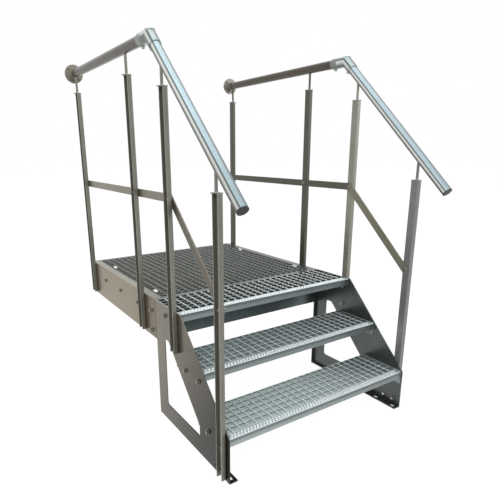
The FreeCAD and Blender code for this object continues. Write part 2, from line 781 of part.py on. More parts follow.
def make_elbow(label, side):
    """The adjustable elbow: a rear half with a tongue and a front half that holds it."""
    x = side * rail_x
    level = fixed(0)
    slope = size["rail_slope"]
    y = along(elbow_run)
    z = up(rail_z)
    across = Vector(0, 1, 0)
    tongue = size["tongue_width"]
    radius = size["tongue_radius"]

    name = f"elbow_rear_{label}"
    start = size["rear_socket_start"]
    sleeve, screw, bore = make_socket(name, x, level, 1, start)
    eye = add_cylinder(f"{name}_eye", 2 * radius, tongue, x - tongue / 2, y, z,
                       across, QUARTER_TURN)
    neck = add_box(f"{name}_neck", tongue, start, 2 * radius, x - tongue / 2, y, z - radius)
    whole = fuse(f"{name}_whole", [sleeve, screw, eye, neck])
    finish(cut(f"{name}_cut", whole, bore), name)

    name = f"elbow_front_{label}"
    sleeve, screw, bore = make_socket(name, x, slope, -1, size["front_socket_start"])
    head = doc.addObject("Part::Sphere", f"{name}_head")
    bind(head, Radius=size["socket_diameter"] / 2)
    place(head, x, y, z)
    shoulder = add_cylinder(f"{name}_shoulder", size["socket_diameter"],
                            size["front_socket_start"], x, y, z, Vector(1, 0, 0),
                            slope + QUARTER_TURN)
    barrel = add_cylinder(f"{name}_barrel", size["socket_diameter"], start - size["joint_gap"],
                          x, y, z, Vector(1, 0, 0), fixed(-QUARTER_TURN))
    boss = add_cylinder(f"{name}_boss", size["boss_diameter"], size["boss_top"], x, y, z)
    whole = fuse(f"{name}_whole", [sleeve, screw, head, shoulder, barrel, boss])
    clearance = size["seat_gap"]
    hollow = add_cylinder(f"{name}_hollow", 2 * (radius + clearance), tongue + 2 * clearance,
                          x - tongue / 2 - clearance, y, z, across, QUARTER_TURN)
    mouth = add_box(f"{name}_mouth", tongue + 2 * clearance, start, 2 * (radius + clearance),
                    x - tongue / 2 - clearance, y, z - radius - clearance)
    crown = add_cylinder(f"{name}_crown", size["boss_diameter"], size["socket_diameter"] / 2, x, y,
                         z + size["boss_top"])
    key = add_cylinder(f"{name}_key", size["key_diameter"], size["socket_diameter"] / 2, x, y,
                       z + size["boss_top"] - size["key_depth"])
    room = fuse(f"{name}_room", [bore, hollow, mouth, crown, key])
    finish(cut(f"{name}_cut", whole, room), name)


def make_wall_disc(label, side):
    """The disc and hub that fix a handrail to the wall, with four screw holes."""
    name = f"wall_disc_{label}"
    body = new_body(f"{name}_body")
    place(body, side * rail_x, along(total_length), up(rail_z))
    disc = new_sketch(body, "XZ_Plane", f"{name}_disc")
    add_circle(disc, 0, 0, size["disc_diameter"])
    add_pad(body, disc, size["disc_plate"])
    hub = new_sketch(body, "XZ_Plane", f"{name}_hub")
    add_circle(hub, 0, 0, size["socket_diameter"])
    add_pad(body, hub, size["disc_plate"] + size["disc_hub"])
    doc.recompute()
    holes = new_sketch(body, "XZ_Plane", f"{name}_holes")
    offset = size["disc_hole_circle"] / 2 * cosine(fixed(QUARTER_TURN / 2))
    for x, z in ((1, 1), (-1, 1), (-1, -1), (1, -1)):
        add_circle(holes, x * offset, z * offset, size["disc_hole"])
    add_pocket(body, holes)
    bore = add_cylinder(f"{name}_bore", size["rail_diameter"] + 2 * size["seat_gap"],
                        size["disc_hub"] + size["disc_plate"], side * rail_x,
                        along(total_length - size["disc_plate"]), up(rail_z),
                        Vector(1, 0, 0), fixed(QUARTER_TURN))
    reach = size["socket_diameter"] / 2 + size["screw_height"]
    screw = add_cylinder(f"{name}_screw", size["screw_diameter"], reach, side * rail_x,
                         along(total_length - size["disc_plate"] - size["disc_hub"] / 2),
                         up(rail_z - reach))
    whole = fuse(f"{name}_whole", [body, screw])
    finish(cut(f"{name}_cut", whole, bore), name)


def make_knee_rail(label, side):
    """The flat bar on the inner faces of the posts, bent at the front platform post."""
    name = f"knee_rail_{label}"
    body = new_body(f"{name}_body")
    place(body, side * outer_face, front_y, up(platform_top + size["knee_height"]))
    half = size["knee_width"] / 2
    slope = size["rail_slope"]
    bend = front_post_run
    mitre = half * (1 - cosine(slope)) / sine(slope)
    rear = rear_post_run + size["post_width"] / 2
    front = size["foot_post_run"] - size["knee_end"]
    drop = (bend - size["foot_post_run"]) * tangent(slope)
    lowest = -drop - size["knee_end"]
    upper_front = half - (bend - mitre - front) * tangent(slope)
    lower_end = bend + mitre - (-half - lowest) / tangent(slope)
    outline = (
        (rear, -half),
        (rear, half),
        (bend - mitre, half),
        (front, upper_front),
        (front, lowest),
        (lower_end, lowest),
        (bend + mitre, -half),
    )
    sketch = outline_sketch(body, "YZ_Plane", f"{name}_outline", outline)
    add_pad(body, sketch, size["knee_plate"], side > 0)
    finish(body, name)


def check_model():
    """Stops if any object failed or a finished piece isn't one valid solid."""
    for item in doc.Objects:
        if {"Invalid", "Error"} & set(item.State):
            raise RuntimeError(f"{item.Label} failed: {item.State}")
    for item in finished:
        shape = item.Shape
        if shape.isNull() or not shape.isValid():
            raise RuntimeError(f"{item.Label} has no valid shape")
        if len(shape.Solids) != 1:
            raise RuntimeError(f"{item.Label} has {len(shape.Solids)} solids")


def export_model():
    """Writes each finished piece to a file with its own name."""
    os.makedirs(OUTPUT_FOLDER, exist_ok=True)
    for item in finished:
        item.Shape.exportStep(os.path.join(OUTPUT_FOLDER, f"{item.Label}.step"))


POST_PLACES = (
    ("foot", size["foot_post_run"], size["foot_post_bottom"], True),
    ("front", front_post_run, size["platform_post_bottom"], True),
    ("middle", middle_post_run, size["platform_post_bottom"], False),
    ("rear", rear_post_run, size["platform_post_bottom"], False),
)
STEP_NAMES = ("lower_step", "middle_step", "top_step")

step_shape = make_step_shape()
for step_number in range(1, step_count + 1):
    make_step(STEP_NAMES[step_number - 1], step_number, step_shape)
make_beam("platform_front_beam", cheek_length, 1)
make_beam("platform_rear_beam", total_length, -1)
make_platform_grating()
for side_label, side_sign in SIDES:
    make_cheek(side_label, side_sign)
    make_platform_side(side_label, side_sign)
    for post_name, post_run, post_bottom, on_slope in POST_PLACES:
        make_post(post_name, side_label, side_sign, post_run, post_bottom, on_slope)
    make_handrail(side_label, side_sign)
    make_elbow(side_label, side_sign)
    make_wall_disc(side_label, side_sign)
    make_knee_rail(side_label, side_sign)

doc.recompute()
check_model()
export_model()
print(f"{len(finished)} pieces")
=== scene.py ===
"""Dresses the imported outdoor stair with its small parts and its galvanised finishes.

The CAD frame gives every large shape. This script adds what a fitter brings to the site
(bolts, clips, screws), the twisted rods of the gratings, the punched buttons of the nosings
and the weld beads, and it gives each surface its finish. Lengths are in metres, in the frame
of the CAD model: +X to the right, +Y into the wall, +Z up. Runs and heights are in millimetres,
behind the front edge of the cheeks and above the ground.
"""

import logging
import math
from dataclasses import dataclass, field
from enum import Enum
from typing import Callable, Iterable, Sequence

import bpy
from mathutils import Matrix, Vector


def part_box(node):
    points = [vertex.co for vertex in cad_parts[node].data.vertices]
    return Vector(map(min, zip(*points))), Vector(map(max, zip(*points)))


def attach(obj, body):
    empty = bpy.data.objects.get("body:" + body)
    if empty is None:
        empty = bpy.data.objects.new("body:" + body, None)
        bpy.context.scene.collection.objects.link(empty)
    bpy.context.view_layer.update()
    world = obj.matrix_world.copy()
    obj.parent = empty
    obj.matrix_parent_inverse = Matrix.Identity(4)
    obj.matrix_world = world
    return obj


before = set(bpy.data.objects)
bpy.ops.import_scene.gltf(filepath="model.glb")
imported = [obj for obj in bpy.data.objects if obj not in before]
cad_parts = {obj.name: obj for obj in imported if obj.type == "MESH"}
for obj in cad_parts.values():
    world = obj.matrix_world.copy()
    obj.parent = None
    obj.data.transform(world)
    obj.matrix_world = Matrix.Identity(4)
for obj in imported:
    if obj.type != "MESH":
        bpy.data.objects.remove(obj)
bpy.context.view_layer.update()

MM = 0.001
SIDES = {"left": -1, "right": 1}
STEP_NAMES = ("lower_step", "middle_step", "top_step")
STEP_TOPS = (-0.2885, -0.0955, 0.0975)
POST_RUNS = {"foot": 40.0, "front": 416.0, "middle": 762.0, "rear": 1520.0}
ELBOW_RUN = 500.0
RAIL_HEIGHT = 1654.0
RAIL_SLOPE = math.radians(44)
POST_PLATE = 3 * MM
END_PLATE = 3 * MM

# A colour as a screen shows it, 0 to 255.
Colour = tuple[float, float, float]
Axis = tuple[float, float, float]
Piece = bpy.types.Object
Socket = bpy.types.NodeSocket
Tree = bpy.types.NodeTree
Ring = tuple[float, float]
ALONG_Y: Axis = (0.0, 1.0, 0.0)
UPWARDS: Axis = (0.0, 0.0, 1.0)
WHITE: Colour = (255, 255, 255)
BLACK: Colour = (0, 0, 0)
log = logging.getLogger("stair")


class Direction(Enum):
    """The directions in which a turned part can point."""

    LEFT = (-1.0, 0.0, 0.0)
    RIGHT = (1.0, 0.0, 0.0)
    FRONT = (0.0, -1.0, 0.0)
    DOWN = (0.0, 0.0, -1.0)

    @staticmethod
    def along_x(sign: int) -> "Direction":
        """The direction along X that has the given sign."""
        return Direction.RIGHT if sign > 0 else Direction.LEFT


def facing(place: Sequence[float], direction: Direction | Sequence[float]) -> Matrix:
    """Builds the placement of a part that was modelled along +Z.

    Args:
        place: Where the part's origin goes.
        direction: Where the part's +Z points.

    Returns:
        The placement as a matrix.
    """
    axis = Vector(direction.value if isinstance(direction, Direction) else direction)
    turn = axis.to_track_quat("Z", "Y").to_matrix().to_4x4()
    return Matrix.Translation(Vector(place)) @ turn


def linear(colour: Colour) -> tuple[float, ...]:
    """Turns a colour as a screen shows it into a shader's linear colour, by the sRGB curve."""
    return tuple(((share + 0.055) / 1.055) ** 2.4 if share > 0.04045 else share / 12.92
                 for share in (value / 255 for value in colour))


# Modelling


class Modeller:
    """Makes meshes from primitives with edit-mode operators and modifiers."""

    @staticmethod
    def deselect() -> None:
        """Leaves edit mode and deselects everything."""
        if bpy.context.object and bpy.context.object.mode != "OBJECT":
            bpy.ops.object.mode_set(mode="OBJECT")
        bpy.ops.object.select_all(action="DESELECT")

    @staticmethod
    def select_only(piece: Piece) -> None:
        """Makes one object the selected and active one.

        Args:
            piece: The object.
        """
        Modeller.deselect()
        piece.select_set(True)
        bpy.context.view_layer.objects.active = piece

    @staticmethod
    def edit_all() -> None:
        """Enters edit mode with the whole mesh selected."""
        bpy.ops.object.mode_set(mode="EDIT")
        bpy.ops.mesh.select_all(action="SELECT")

    @staticmethod
    def extrude(step: Sequence[float]) -> None:
        """Extrudes the selected faces by a step."""
        bpy.ops.mesh.extrude_region_move(TRANSFORM_OT_translate={"value": step})

    @staticmethod
    def close(name: str) -> Piece:
        """Points the faces outwards, leaves edit mode and settles the active object.

        Args:
            name: The name that the object gets.

        Returns:
            The active object, unturned and unscaled at the origin.
        """
        bpy.ops.mesh.select_all(action="SELECT")
        bpy.ops.mesh.remove_doubles(threshold=1e-6)
        bpy.ops.mesh.normals_make_consistent(inside=False)
        bpy.ops.object.mode_set(mode="OBJECT")
        bpy.ops.object.transform_apply(location=True, rotation=True, scale=True)
        piece = bpy.context.active_object
        piece.name = name
        piece.data.name = name
        return piece

    @staticmethod
    def turned(name: str, sides: int, rings: Sequence[Ring]) -> Piece:
        """Makes a solid whose cross-section is a regular polygon that changes along Z.

        Args:
            name: The name of the new object.
            sides: The number of sides of the polygon.
            rings: The radius and the height of each ring, from the first cap to the last.

        Returns:
            The closed solid.
        """
        radius, height = rings[0]
        Modeller.deselect()
        bpy.ops.mesh.primitive_circle_add(vertices=sides, radius=radius, fill_type="NGON",
                                          location=(0, 0, height))
        Modeller.edit_all()
        for next_radius, next_height in rings[1:]:
            Modeller.extrude((0, 0, next_height - height))
            ratio = next_radius / radius
            bpy.ops.transform.resize(value=(ratio, ratio, 1),
                                     center_override=(0, 0, next_height))
            radius, height = next_radius, next_height
        return Modeller.close(name)

    @staticmethod
    def apply(piece: Piece, kind: str, **values: object) -> None:
        """Adds a modifier with its values and applies it.

        Args:
            piece: The object that is changed.
            kind: The kind of modifier.
            **values: The modifier's properties.
        """
        Modeller.select_only(piece)
        modifier = piece.modifiers.new(kind.lower(), kind)
        for key, value in values.items():
            setattr(modifier, key, value)
        bpy.ops.object.modifier_apply(modifier=modifier.name)

    @staticmethod
    def boolean(piece: Piece, tool: Piece, operation: str) -> Piece:
        """Combines a piece with a tool that is used up.

        Args:
            piece: The object that is changed.
            tool: The object that is used up.
            operation: How they are combined.

        Returns:
            The changed piece.
        """
        Modeller.apply(piece, "BOOLEAN", operation=operation, object=tool, solver="EXACT")
        bpy.data.objects.remove(tool)
        return piece

    @staticmethod
    def join(name: str, pieces: Iterable[Piece]) -> Piece:
        """Joins objects into one that has the given name.

        Args:
            name: The name of the joined object.
            pieces: The objects.

        Returns:
            The joined object.
        """
        members = list(pieces)
        Modeller.deselect()
        for member in members:
            member.select_set(True)
        bpy.context.view_layer.objects.active = members[0]
        if len(members) > 1:
            bpy.ops.object.join()
        joined = bpy.context.active_object
        joined.name = name
        joined.data.name = name
        return joined

    @staticmethod
    def spread(name: str, model: Piece, placements: Iterable[Matrix]) -> Piece:
        """Copies a model to each placement, joins the copies and removes the model.

        Args:
            name: The name of the joined piece.
            model: The part that repeats.
            placements: Where the copies go.

        Returns:
            The joined piece.
        """
        copies = []
        for placement in placements:
            copy = model.copy()
            copy.data = model.data.copy()
            copy.data.transform(placement)
            bpy.context.scene.collection.objects.link(copy)
            copies.append(copy)
        bpy.data.objects.remove(model)
        return Modeller.join(name, copies)

    @staticmethod
    def smooth(piece: Piece, angle: float = 35.0) -> Piece:
        """Shades a piece smooth where its faces meet at less than an angle in degrees.

        Args:
            piece: The piece.
            angle: The angle.

        Returns:
            The same piece.
        """
        Modeller.select_only(piece)
        bpy.ops.object.shade_smooth_by_angle(angle=math.radians(angle))
        return piece


# Finishes


class NodeGraph:
    """A short way to write nodes and links in a node tree."""

    def __init__(self, tree: Tree) -> None:
        """Starts on an empty tree."""
        self.tree = tree
        tree.nodes.clear()

    def node(self, kind: str, inputs: dict[str | int, object] | None = None,
             **values: object) -> bpy.types.Node:
        """Adds a node.

        Args:
            kind: The node's type name without its leading ShaderNode.
            inputs: What its inputs get: a socket to link, a number, a vector or a colour.
            **values: Properties of the node.

        Returns:
            The new node.
        """
        added = self.tree.nodes.new(kind if kind.startswith("Node") else "ShaderNode" + kind)
        for key, value in values.items():
            setattr(added, key, value)
        for key, value in (inputs or {}).items():
            target = added.inputs[key]
            if isinstance(value, Socket):
                self.tree.links.new(value, target)
            elif target.type == "RGBA":
                target.default_value = (*linear(value), 1.0)
            else:
                target.default_value = value
        return added

    def math(self, operation: str, first: object, second: object,
             clamp: bool = False) -> Socket:
        """Adds a Math node whose inputs are sockets or numbers."""
        return self.node("Math", {0: first, 1: second}, operation=operation,
                         use_clamp=clamp).outputs[0]

    def mix(self, factor: object, first: object, second: object) -> Socket:
        """Adds a colour mix whose inputs are sockets, a number or colours."""
        return self.node("Mix", {0: factor, 6: first, 7: second}, data_type="RGBA",
                         clamp_factor=True).outputs[2]

    def dot(self, first: object, second: object) -> Socket:
        """Adds the dot product of two vectors."""
        return self.node("VectorMath", {0: first, 1: second},
                         operation="DOT_PRODUCT").outputs["Value"]

    def place(self) -> Socket:
        """Adds the place on the object, in its own coordinates."""
        return self.node("TexCoord").outputs["Object"]

    def normal(self) -> Socket:
        """Adds the direction in which the surface looks."""
        return self.node("NewGeometry").outputs["Normal"]


class GroupGraph(NodeGraph):
    """The graph of a new node group."""

    def __init__(self, name: str, inputs: dict[str, str], outputs: dict[str, str]) -> None:
        """Makes the group with its sockets.

        Args:
            name: The name of the group.
            inputs: Each input with its kind: Color, Float or Vector.
            outputs: Each output with its kind.
        """
        super().__init__(bpy.data.node_groups.new(name, "ShaderNodeTree"))
        for direction, sockets in (("INPUT", inputs), ("OUTPUT", outputs)):
            for socket, kind in sockets.items():
                self.tree.interface.new_socket(name=socket, in_out=direction,
                                               socket_type=f"NodeSocket{kind}")
        self.entry = self.node("NodeGroupInput")

    def given(self, name: str) -> Socket:
        """The socket that carries one of the group's inputs."""
        return self.entry.outputs[name]

    def share(self, value: Socket) -> Socket:
        """Adds how far a value has come from Start over Length, from 0 to 1."""
        return self.math("DIVIDE", self.math("SUBTRACT", value, self.given("Start")),
                         self.given("Length"), clamp=True)

    def finish(self, results: dict[str, Socket]) -> Tree:
        """Links the results to the group's outputs and returns the group."""
        self.node("NodeGroupOutput", results)
        return self.tree


def make_zinc_group() -> Tree:
    """Builds the group that draws zinc crystals, clouds and runs on galvanised steel.

    Returns:
        The group, with colour, roughness and height as its outputs.
    """
    cloud_scale, grain_scale, run_scale = 6.0, 700.0, (45.0, 45.0, 2.5)
    roughness_swing, least_roughness = 0.12, 0.12
    crystal_relief, grain_relief = 0.12, 0.3
    graph = GroupGraph("zinc_surface", {
        "Deep": "Color", "Pale": "Color", "Crystals": "Float", "Contrast": "Float",
        "Clouds": "Float", "Runs": "Float", "Roughness": "Float",
    }, {"Color": "Color", "Roughness": "Float", "Height": "Float"})
    place = graph.place()
    crystals = graph.node("TexVoronoi", {"Vector": place, "Scale": graph.given("Crystals")},
                          feature="F1")
    shade = graph.node("SeparateColor", {0: crystals.outputs["Color"]}).outputs[0]
    clouds = graph.node("TexNoise", {"Vector": place, "Scale": cloud_scale, "Detail": 5.0})
    stretched = graph.node("Mapping", {"Vector": place, "Scale": run_scale})
    runs = graph.node("TexNoise", {"Vector": stretched.outputs[0], "Scale": 1.0, "Detail": 3.0})
    grain = graph.node("TexNoise", {"Vector": place, "Scale": grain_scale})
    total: object = 0.0
    for pattern, amount in ((shade, "Contrast"), (clouds.outputs[0], "Clouds"),
                            (runs.outputs[0], "Runs")):
        swing = graph.math("MULTIPLY", graph.math("SUBTRACT", pattern, 0.5), graph.given(amount))
        total = graph.math("ADD", total, swing)
    factor = graph.math("ADD", total, 0.5, clamp=True)
    change = graph.math("MULTIPLY", graph.math("SUBTRACT", 0.5, factor), roughness_swing)
    rough = graph.math("ADD", graph.given("Roughness"), change)
    return graph.finish({
        "Color": graph.mix(factor, graph.given("Deep"), graph.given("Pale")),
        "Roughness": graph.math("MAXIMUM", rough, least_roughness),
        "Height": graph.math("ADD", graph.math("MULTIPLY", shade, crystal_relief),
                             graph.math("MULTIPLY", grain.outputs[0], grain_relief)),
    })


def make_side_shade_group() -> Tree:
    """Builds the group that paints shade, light and reflection on faces which look sideways or
    down.

    Returns:
        The group, with the painted colour as its output.
    """
    upward_weight = 1.4
    graph = GroupGraph("painted_side_shade", {
        "Color": "Color", "Near": "Color", "Far": "Color", "Edge": "Color", "Start": "Float",
        "Length": "Float", "Amount": "Float", "Below": "Float", "Band": "Float",
    }, {"Color": "Color"})
    normal = graph.node("SeparateXYZ", {0: graph.normal()})
    upwards = graph.math("MULTIPLY", normal.outputs[2], upward_weight)
    sideways = graph.math("SUBTRACT", 1.0, upwards, clamp=True)
    place = graph.node("SeparateXYZ", {0: graph.place()})
    # Painted shade: sideways faces run from the near to the far colour along X.
    plain = graph.mix(graph.share(place.outputs[0]), graph.given("Near"), graph.given("Far"))
    # Painted shadow: a band of the edge colour just below the top.
    depth = graph.math("SUBTRACT", graph.given("Below"), place.outputs[2])
    lower = graph.math("DIVIDE", depth, graph.given("Band"), clamp=True)
    side = graph.mix(lower, graph.given("Edge"), plain)
    below = graph.math("GREATER_THAN", depth, 0.0)
    amount = graph.math("MULTIPLY", graph.math("MULTIPLY", sideways, below),
                        graph.given("Amount"), clamp=True)
    return graph.finish({"Color": graph.mix(amount, graph.given("Color"), side)})


def make_shading_ramp_group() -> Tree:
    """Builds the group that paints light and shade by changing the brightness of a colour along a
    direction.

    Returns:
        The group, with the changed colour as its output.
    """
    graph = GroupGraph("fade", {"Color": "Color", "Axis": "Vector", "Start": "Float",
                                "Length": "Float", "From": "Float", "To": "Float"},
                       {"Color": "Color"})
    share = graph.share(graph.dot(graph.place(), graph.given("Axis")))
    change = graph.math("SUBTRACT", graph.given("To"), graph.given("From"))
    tint = graph.math("ADD", graph.given("From"), graph.math("MULTIPLY", change, share))
    scaled = graph.node("VectorMath", {0: graph.given("Color"), "Scale": tint},
                        operation="SCALE")
    return graph.finish({"Color": scaled.outputs[0]})


def make_face_group() -> Tree:
    """Builds the group that tells how far a surface is turned to a direction, from 0 to 1.

    Returns:
        The group, with the share as its output.
    """
    graph = GroupGraph("turned_to", {"Axis": "Vector"}, {"Share": "Float"})
    half = graph.math("MULTIPLY", graph.dot(graph.normal(), graph.given("Axis")), 0.5)
    return graph.finish({"Share": graph.math("ADD", half, 0.5, clamp=True)})


def make_edge_highlight_group() -> Tree:
    """Builds the group that paints highlights on edges, found with a bevel and broken up by noise.

    Returns:
        The group, with the colour with painted edge highlights as its output.
    """
    bend_gain, spot_gain, spot_scale = 6.0, 1.6, 60.0
    graph = GroupGraph("painted_edge_highlight", {"Color": "Color", "Edge": "Color", "Amount": "Float"},
                       {"Color": "Color"})
    rounded = graph.node("Bevel", {"Radius": 1.2 * MM}, samples=4)
    bend = graph.math("SUBTRACT", 1.0, graph.dot(rounded.outputs[0], graph.normal()), clamp=True)
    spots = graph.node("TexNoise", {"Vector": graph.place(), "Scale": spot_scale})
    # Painted highlight: edges found by the bevel are brightened, broken up by noise.
    edge_glint = graph.math("MULTIPLY", graph.math("MULTIPLY", bend, bend_gain, clamp=True),
                      graph.math("MULTIPLY", spots.outputs[0], spot_gain, clamp=True))
    amount = graph.math("MULTIPLY", edge_glint, graph.given("Amount"), clamp=True)
    return graph.finish({"Color": graph.mix(amount, graph.given("Color"), graph.given("Edge"))})


@dataclass(frozen=True)
class ShadingRamp:
    """Painted light and shade: a brightness that changes along a direction, in metres from the
    frame's origin.
    """

    axis: Axis
    start: float
    length: float
    first: float
    last: float


@dataclass(frozen=True)
class SideShade:
    """The painted shade, light and reflection on faces that look sideways or down.

    It changes along X from near to far, and starts with a painted shadow band of the edge colour
    below a height.
    """

    near: Colour
    far: Colour
    start: float = -0.4
    length: float = 0.8
    amount: float = 0.9
    edge: Colour = BLACK
    below: float = 10.0
    band: float = 0.001


@dataclass(frozen=True)
class ReflectionBands:
    """Painted reflection, highlight and shade in bands along a tube, from the side turned away
    from an axis to the other.
    """

    axis: Axis
    bands: tuple[tuple[float, Colour], ...]
    share: float


@dataclass(frozen=True)
class NodeGroups:
    """The node groups that the finishes share."""

    zinc: Tree
    tone: Tree
    fade: Tree
    face: Tree
    edge_highlight: Tree


@dataclass(frozen=True)
class Finish:
    """A finish with clouded colour, its own roughness and a fine relief."""

    name: str
    deep: Colour
    pale: Colour
    # edge is the colour of the painted edge highlight, edge_amount how strongly it is painted.
    edge: Colour
    roughness: float
    metallic: float
    crystals: float = 85.0
    contrast: float = 0.14
    clouds: float = 0.7
    runs: float = 0.2
    relief: float = 0.08
    relief_depth: float = 0.5 * MM
    edge_amount: float = 0.6
    side: SideShade | None = None
    shading_ramps: tuple[ShadingRamp, ...] = ()
    reflection_bands: ReflectionBands | None = None

    def paint_reflection(self, graph: NodeGraph, groups: NodeGroups, colour: Socket) -> Socket:
        """Lays the painted reflection bands over a colour.

        Args:
            graph: The graph of the material.
            groups: The shared node groups.
            colour: The colour of the zinc.

        Returns:
            The colour with the painted reflection, or the same colour where the finish has none.
        """
        if not self.reflection_bands:
            return colour
        turned = graph.node("Group", {"Axis": self.reflection_bands.axis}, node_tree=groups.face)
        ramp = graph.node("ValToRGB", {0: turned.outputs["Share"]})
        stops = ramp.color_ramp.elements
        while len(stops) < len(self.reflection_bands.bands):
            stops.new(1.0)
        for stop, (place, shade) in zip(stops, self.reflection_bands.bands):
            stop.position = place
            stop.color = (*linear(shade), 1.0)
        return graph.mix(self.reflection_bands.share, colour, ramp.outputs["Color"])

    def colour(self, graph: NodeGraph, groups: NodeGroups, colour: Socket) -> Socket:
        """Adds the painted reflection bands, the painted side shade, the painted light and shade
        ramps and the painted edge highlights.

        Args:
            graph: The graph of the material.
            groups: The shared node groups.
            colour: The colour of the zinc.

        Returns:
            The finished colour.
        """
        colour = self.paint_reflection(graph, groups, colour)
        # Painted shade, light and reflection on the faces that look sideways or down.
        if self.side:
            colour = graph.node("Group", {
                "Color": colour, "Near": self.side.near, "Far": self.side.far,
                "Edge": self.side.edge, "Start": self.side.start, "Length": self.side.length,
                "Amount": self.side.amount, "Below": self.side.below, "Band": self.side.band,
            }, node_tree=groups.tone).outputs["Color"]
        # Painted light and shade that change along a direction.
        for fade in self.shading_ramps:
            colour = graph.node("Group", {
                "Color": colour, "Axis": fade.axis, "Start": fade.start, "Length": fade.length,
                "From": fade.first, "To": fade.last,
            }, node_tree=groups.fade).outputs["Color"]
        # Painted highlights on the edges.
        return graph.node("Group", {"Color": colour, "Edge": self.edge,
                                    "Amount": self.edge_amount},
                          node_tree=groups.edge_highlight).outputs["Color"]

    def build(self, groups: NodeGroups) -> bpy.types.Material:
        """Makes the material.

        Args:
            groups: The shared node groups.

        Returns:
            The material.
        """
        material = bpy.data.materials.new(self.name)
        material.use_nodes = True
        graph = NodeGraph(material.node_tree)
        zinc = graph.node("Group", {
            "Deep": self.deep, "Pale": self.pale, "Crystals": self.crystals,
            "Contrast": self.contrast, "Clouds": self.clouds, "Runs": self.runs,
            "Roughness": self.roughness,
        }, node_tree=groups.zinc)
        bump = graph.node("Bump", {"Strength": self.relief, "Distance": self.relief_depth,
                                   "Height": zinc.outputs["Height"]})
        shader = graph.node("BsdfPrincipled", {
            "Metallic": self.metallic, "Roughness": zinc.outputs["Roughness"],
            "Base Color": self.colour(graph, groups, zinc.outputs["Color"]),
            "Normal": bump.outputs[0],
        })
        graph.node("OutputMaterial", {"Surface": shader.outputs[0]})
        return material


# Painted shadow: a dark line at the front edge of the left side plate, on its seam with the cheek.
SEAM_SHADOW = ShadingRamp(ALONG_Y, -0.9335, 0.0015, 0.16, 1.0)
# Painted reflection: the warm brown of the left side plate and of its sideways faces; it is also
# painted darker towards its front.
WARM_PLATE = Finish("zinc_warm_plate", (122, 120, 108), (160, 158, 144), (206, 200, 184),
                    0.30, 0.7, clouds=0.5,
                    side=SideShade((128, 114, 90), (128, 114, 90), amount=0.85),
                    shading_ramps=(ShadingRamp(ALONG_Y, -0.94, 0.26, 0.66, 1.0), SEAM_SHADOW))
# Painted reflection: the left cheek runs from dark low at the front to bright high at the back.
WARM_CHEEK = Finish("zinc_warm_cheek", (78, 74, 65), (108, 102, 89), (196, 192, 184),
                    0.28, 0.75, clouds=0.5, shading_ramps=(ShadingRamp((0.0, 0.8, 0.6), -1.32, 0.44, 0.2, 1.46),))
# Painted reflection: the cool grey of the right plates, a cooler copy of the left ones.
COOL_PLATE = Finish("zinc_cool_plate", (72, 76, 75), (98, 103, 101), (205, 212, 212),
                    0.28, 0.75, clouds=0.6)
BEAM = Finish("zinc_beam", (70, 78, 79), (104, 114, 115), (190, 200, 202), 0.30, 0.75)
# Painted light and shade: the steps carry one grating in three brightnesses, the lowest palest;
# their sideways faces are painted darker to the right, with a painted shadow band under the tops
# on the lower two.
LOWER_GRATING = Finish("zinc_lower_grating", (222, 234, 234), (248, 252, 252), (240, 246, 248),
                       0.34, 0.4, crystals=160.0,
                       side=SideShade((172, 190, 188), (124, 138, 140), 0.0, 0.4, 0.95,
                                     (52, 62, 62), STEP_TOPS[0], 9 * MM))
MIDDLE_GRATING = Finish("zinc_middle_grating", (206, 220, 220), (240, 248, 248),
                        (240, 246, 248), 0.34, 0.4, crystals=160.0,
                        side=SideShade((164, 180, 180), (102, 115, 117), -0.3, 0.7, 0.95,
                                      (34, 42, 43), STEP_TOPS[1], 9 * MM))
TOP_GRATING = Finish("zinc_top_grating", (128, 140, 140), (176, 186, 186), (232, 240, 242),
                     0.34, 0.4, crystals=160.0,
                     side=SideShade((84, 93, 92), (50, 58, 58), amount=0.95))
# Painted light: the sideways faces of the platform grating get a flat colour, a little darker to
# the right, that lifts the shade between its bars.
DARK_GRATING = Finish("zinc_platform_grating", (102, 106, 102), (140, 145, 140),
                      (164, 168, 165), 0.42, 0.4, crystals=160.0,
                      side=SideShade((122, 124, 118), (112, 115, 111)))


def make_nosing(name: str, top: float, near: Colour, far: Colour) -> Finish:
    """Describes the finish of a nosing whose top lies at a height, with a painted shadow band
    under its front edge and painted shade on its sideways faces.
    """
    return Finish(f"zinc_{name}_nosing", (160, 174, 175), (206, 218, 219), (250, 252, 252),
                  0.30, 0.5, crystals=140.0,
                  side=SideShade(near, far, edge=(26, 34, 35), below=top - 3 * MM,
                                band=20 * MM))


def make_elbow(name: str, reflection_bands: ReflectionBands) -> Finish:
    """Describes the finish of the front half of an elbow, with painted reflection bands like its
    tube's.
    """
    return Finish(f"zinc_{name}_elbow", (112, 122, 119), (164, 176, 173), (240, 246, 244),
                  0.32, 0.5, crystals=240.0, relief=0.2, edge_amount=0.9,
                  reflection_bands=ReflectionBands(reflection_bands.axis, KNUCKLE_REFLECTION_BANDS, 0.85))


# Painted shade: the sideways faces of the nosings are darker on the higher steps and darker to the
# right.
NOSINGS = (
    make_nosing("lower", STEP_TOPS[0], (150, 160, 158), (112, 120, 120)),
    make_nosing("middle", STEP_TOPS[1], (128, 138, 138), (92, 100, 101)),
    make_nosing("top", STEP_TOPS[2], (118, 126, 127), (84, 92, 93)),
)
BUTTON = Finish("zinc_button", (226, 236, 237), (250, 252, 252), (252, 252, 252), 0.28, 0.4,
                crystals=200.0)
# Painted shade: the rods' sideways faces are darker, and darker to the right.
ROD = Finish("zinc_rod", (214, 226, 227), (246, 250, 250), (250, 252, 252), 0.30, 0.4,
             crystals=200.0, side=SideShade((176, 190, 189), (130, 142, 143), amount=0.7))
DARK_ROD = Finish("zinc_platform_rod", (106, 110, 107), (142, 147, 143), (190, 196, 194),
                  0.36, 0.5, crystals=200.0,
                  side=SideShade((104, 107, 103), (96, 100, 98), amount=0.8))
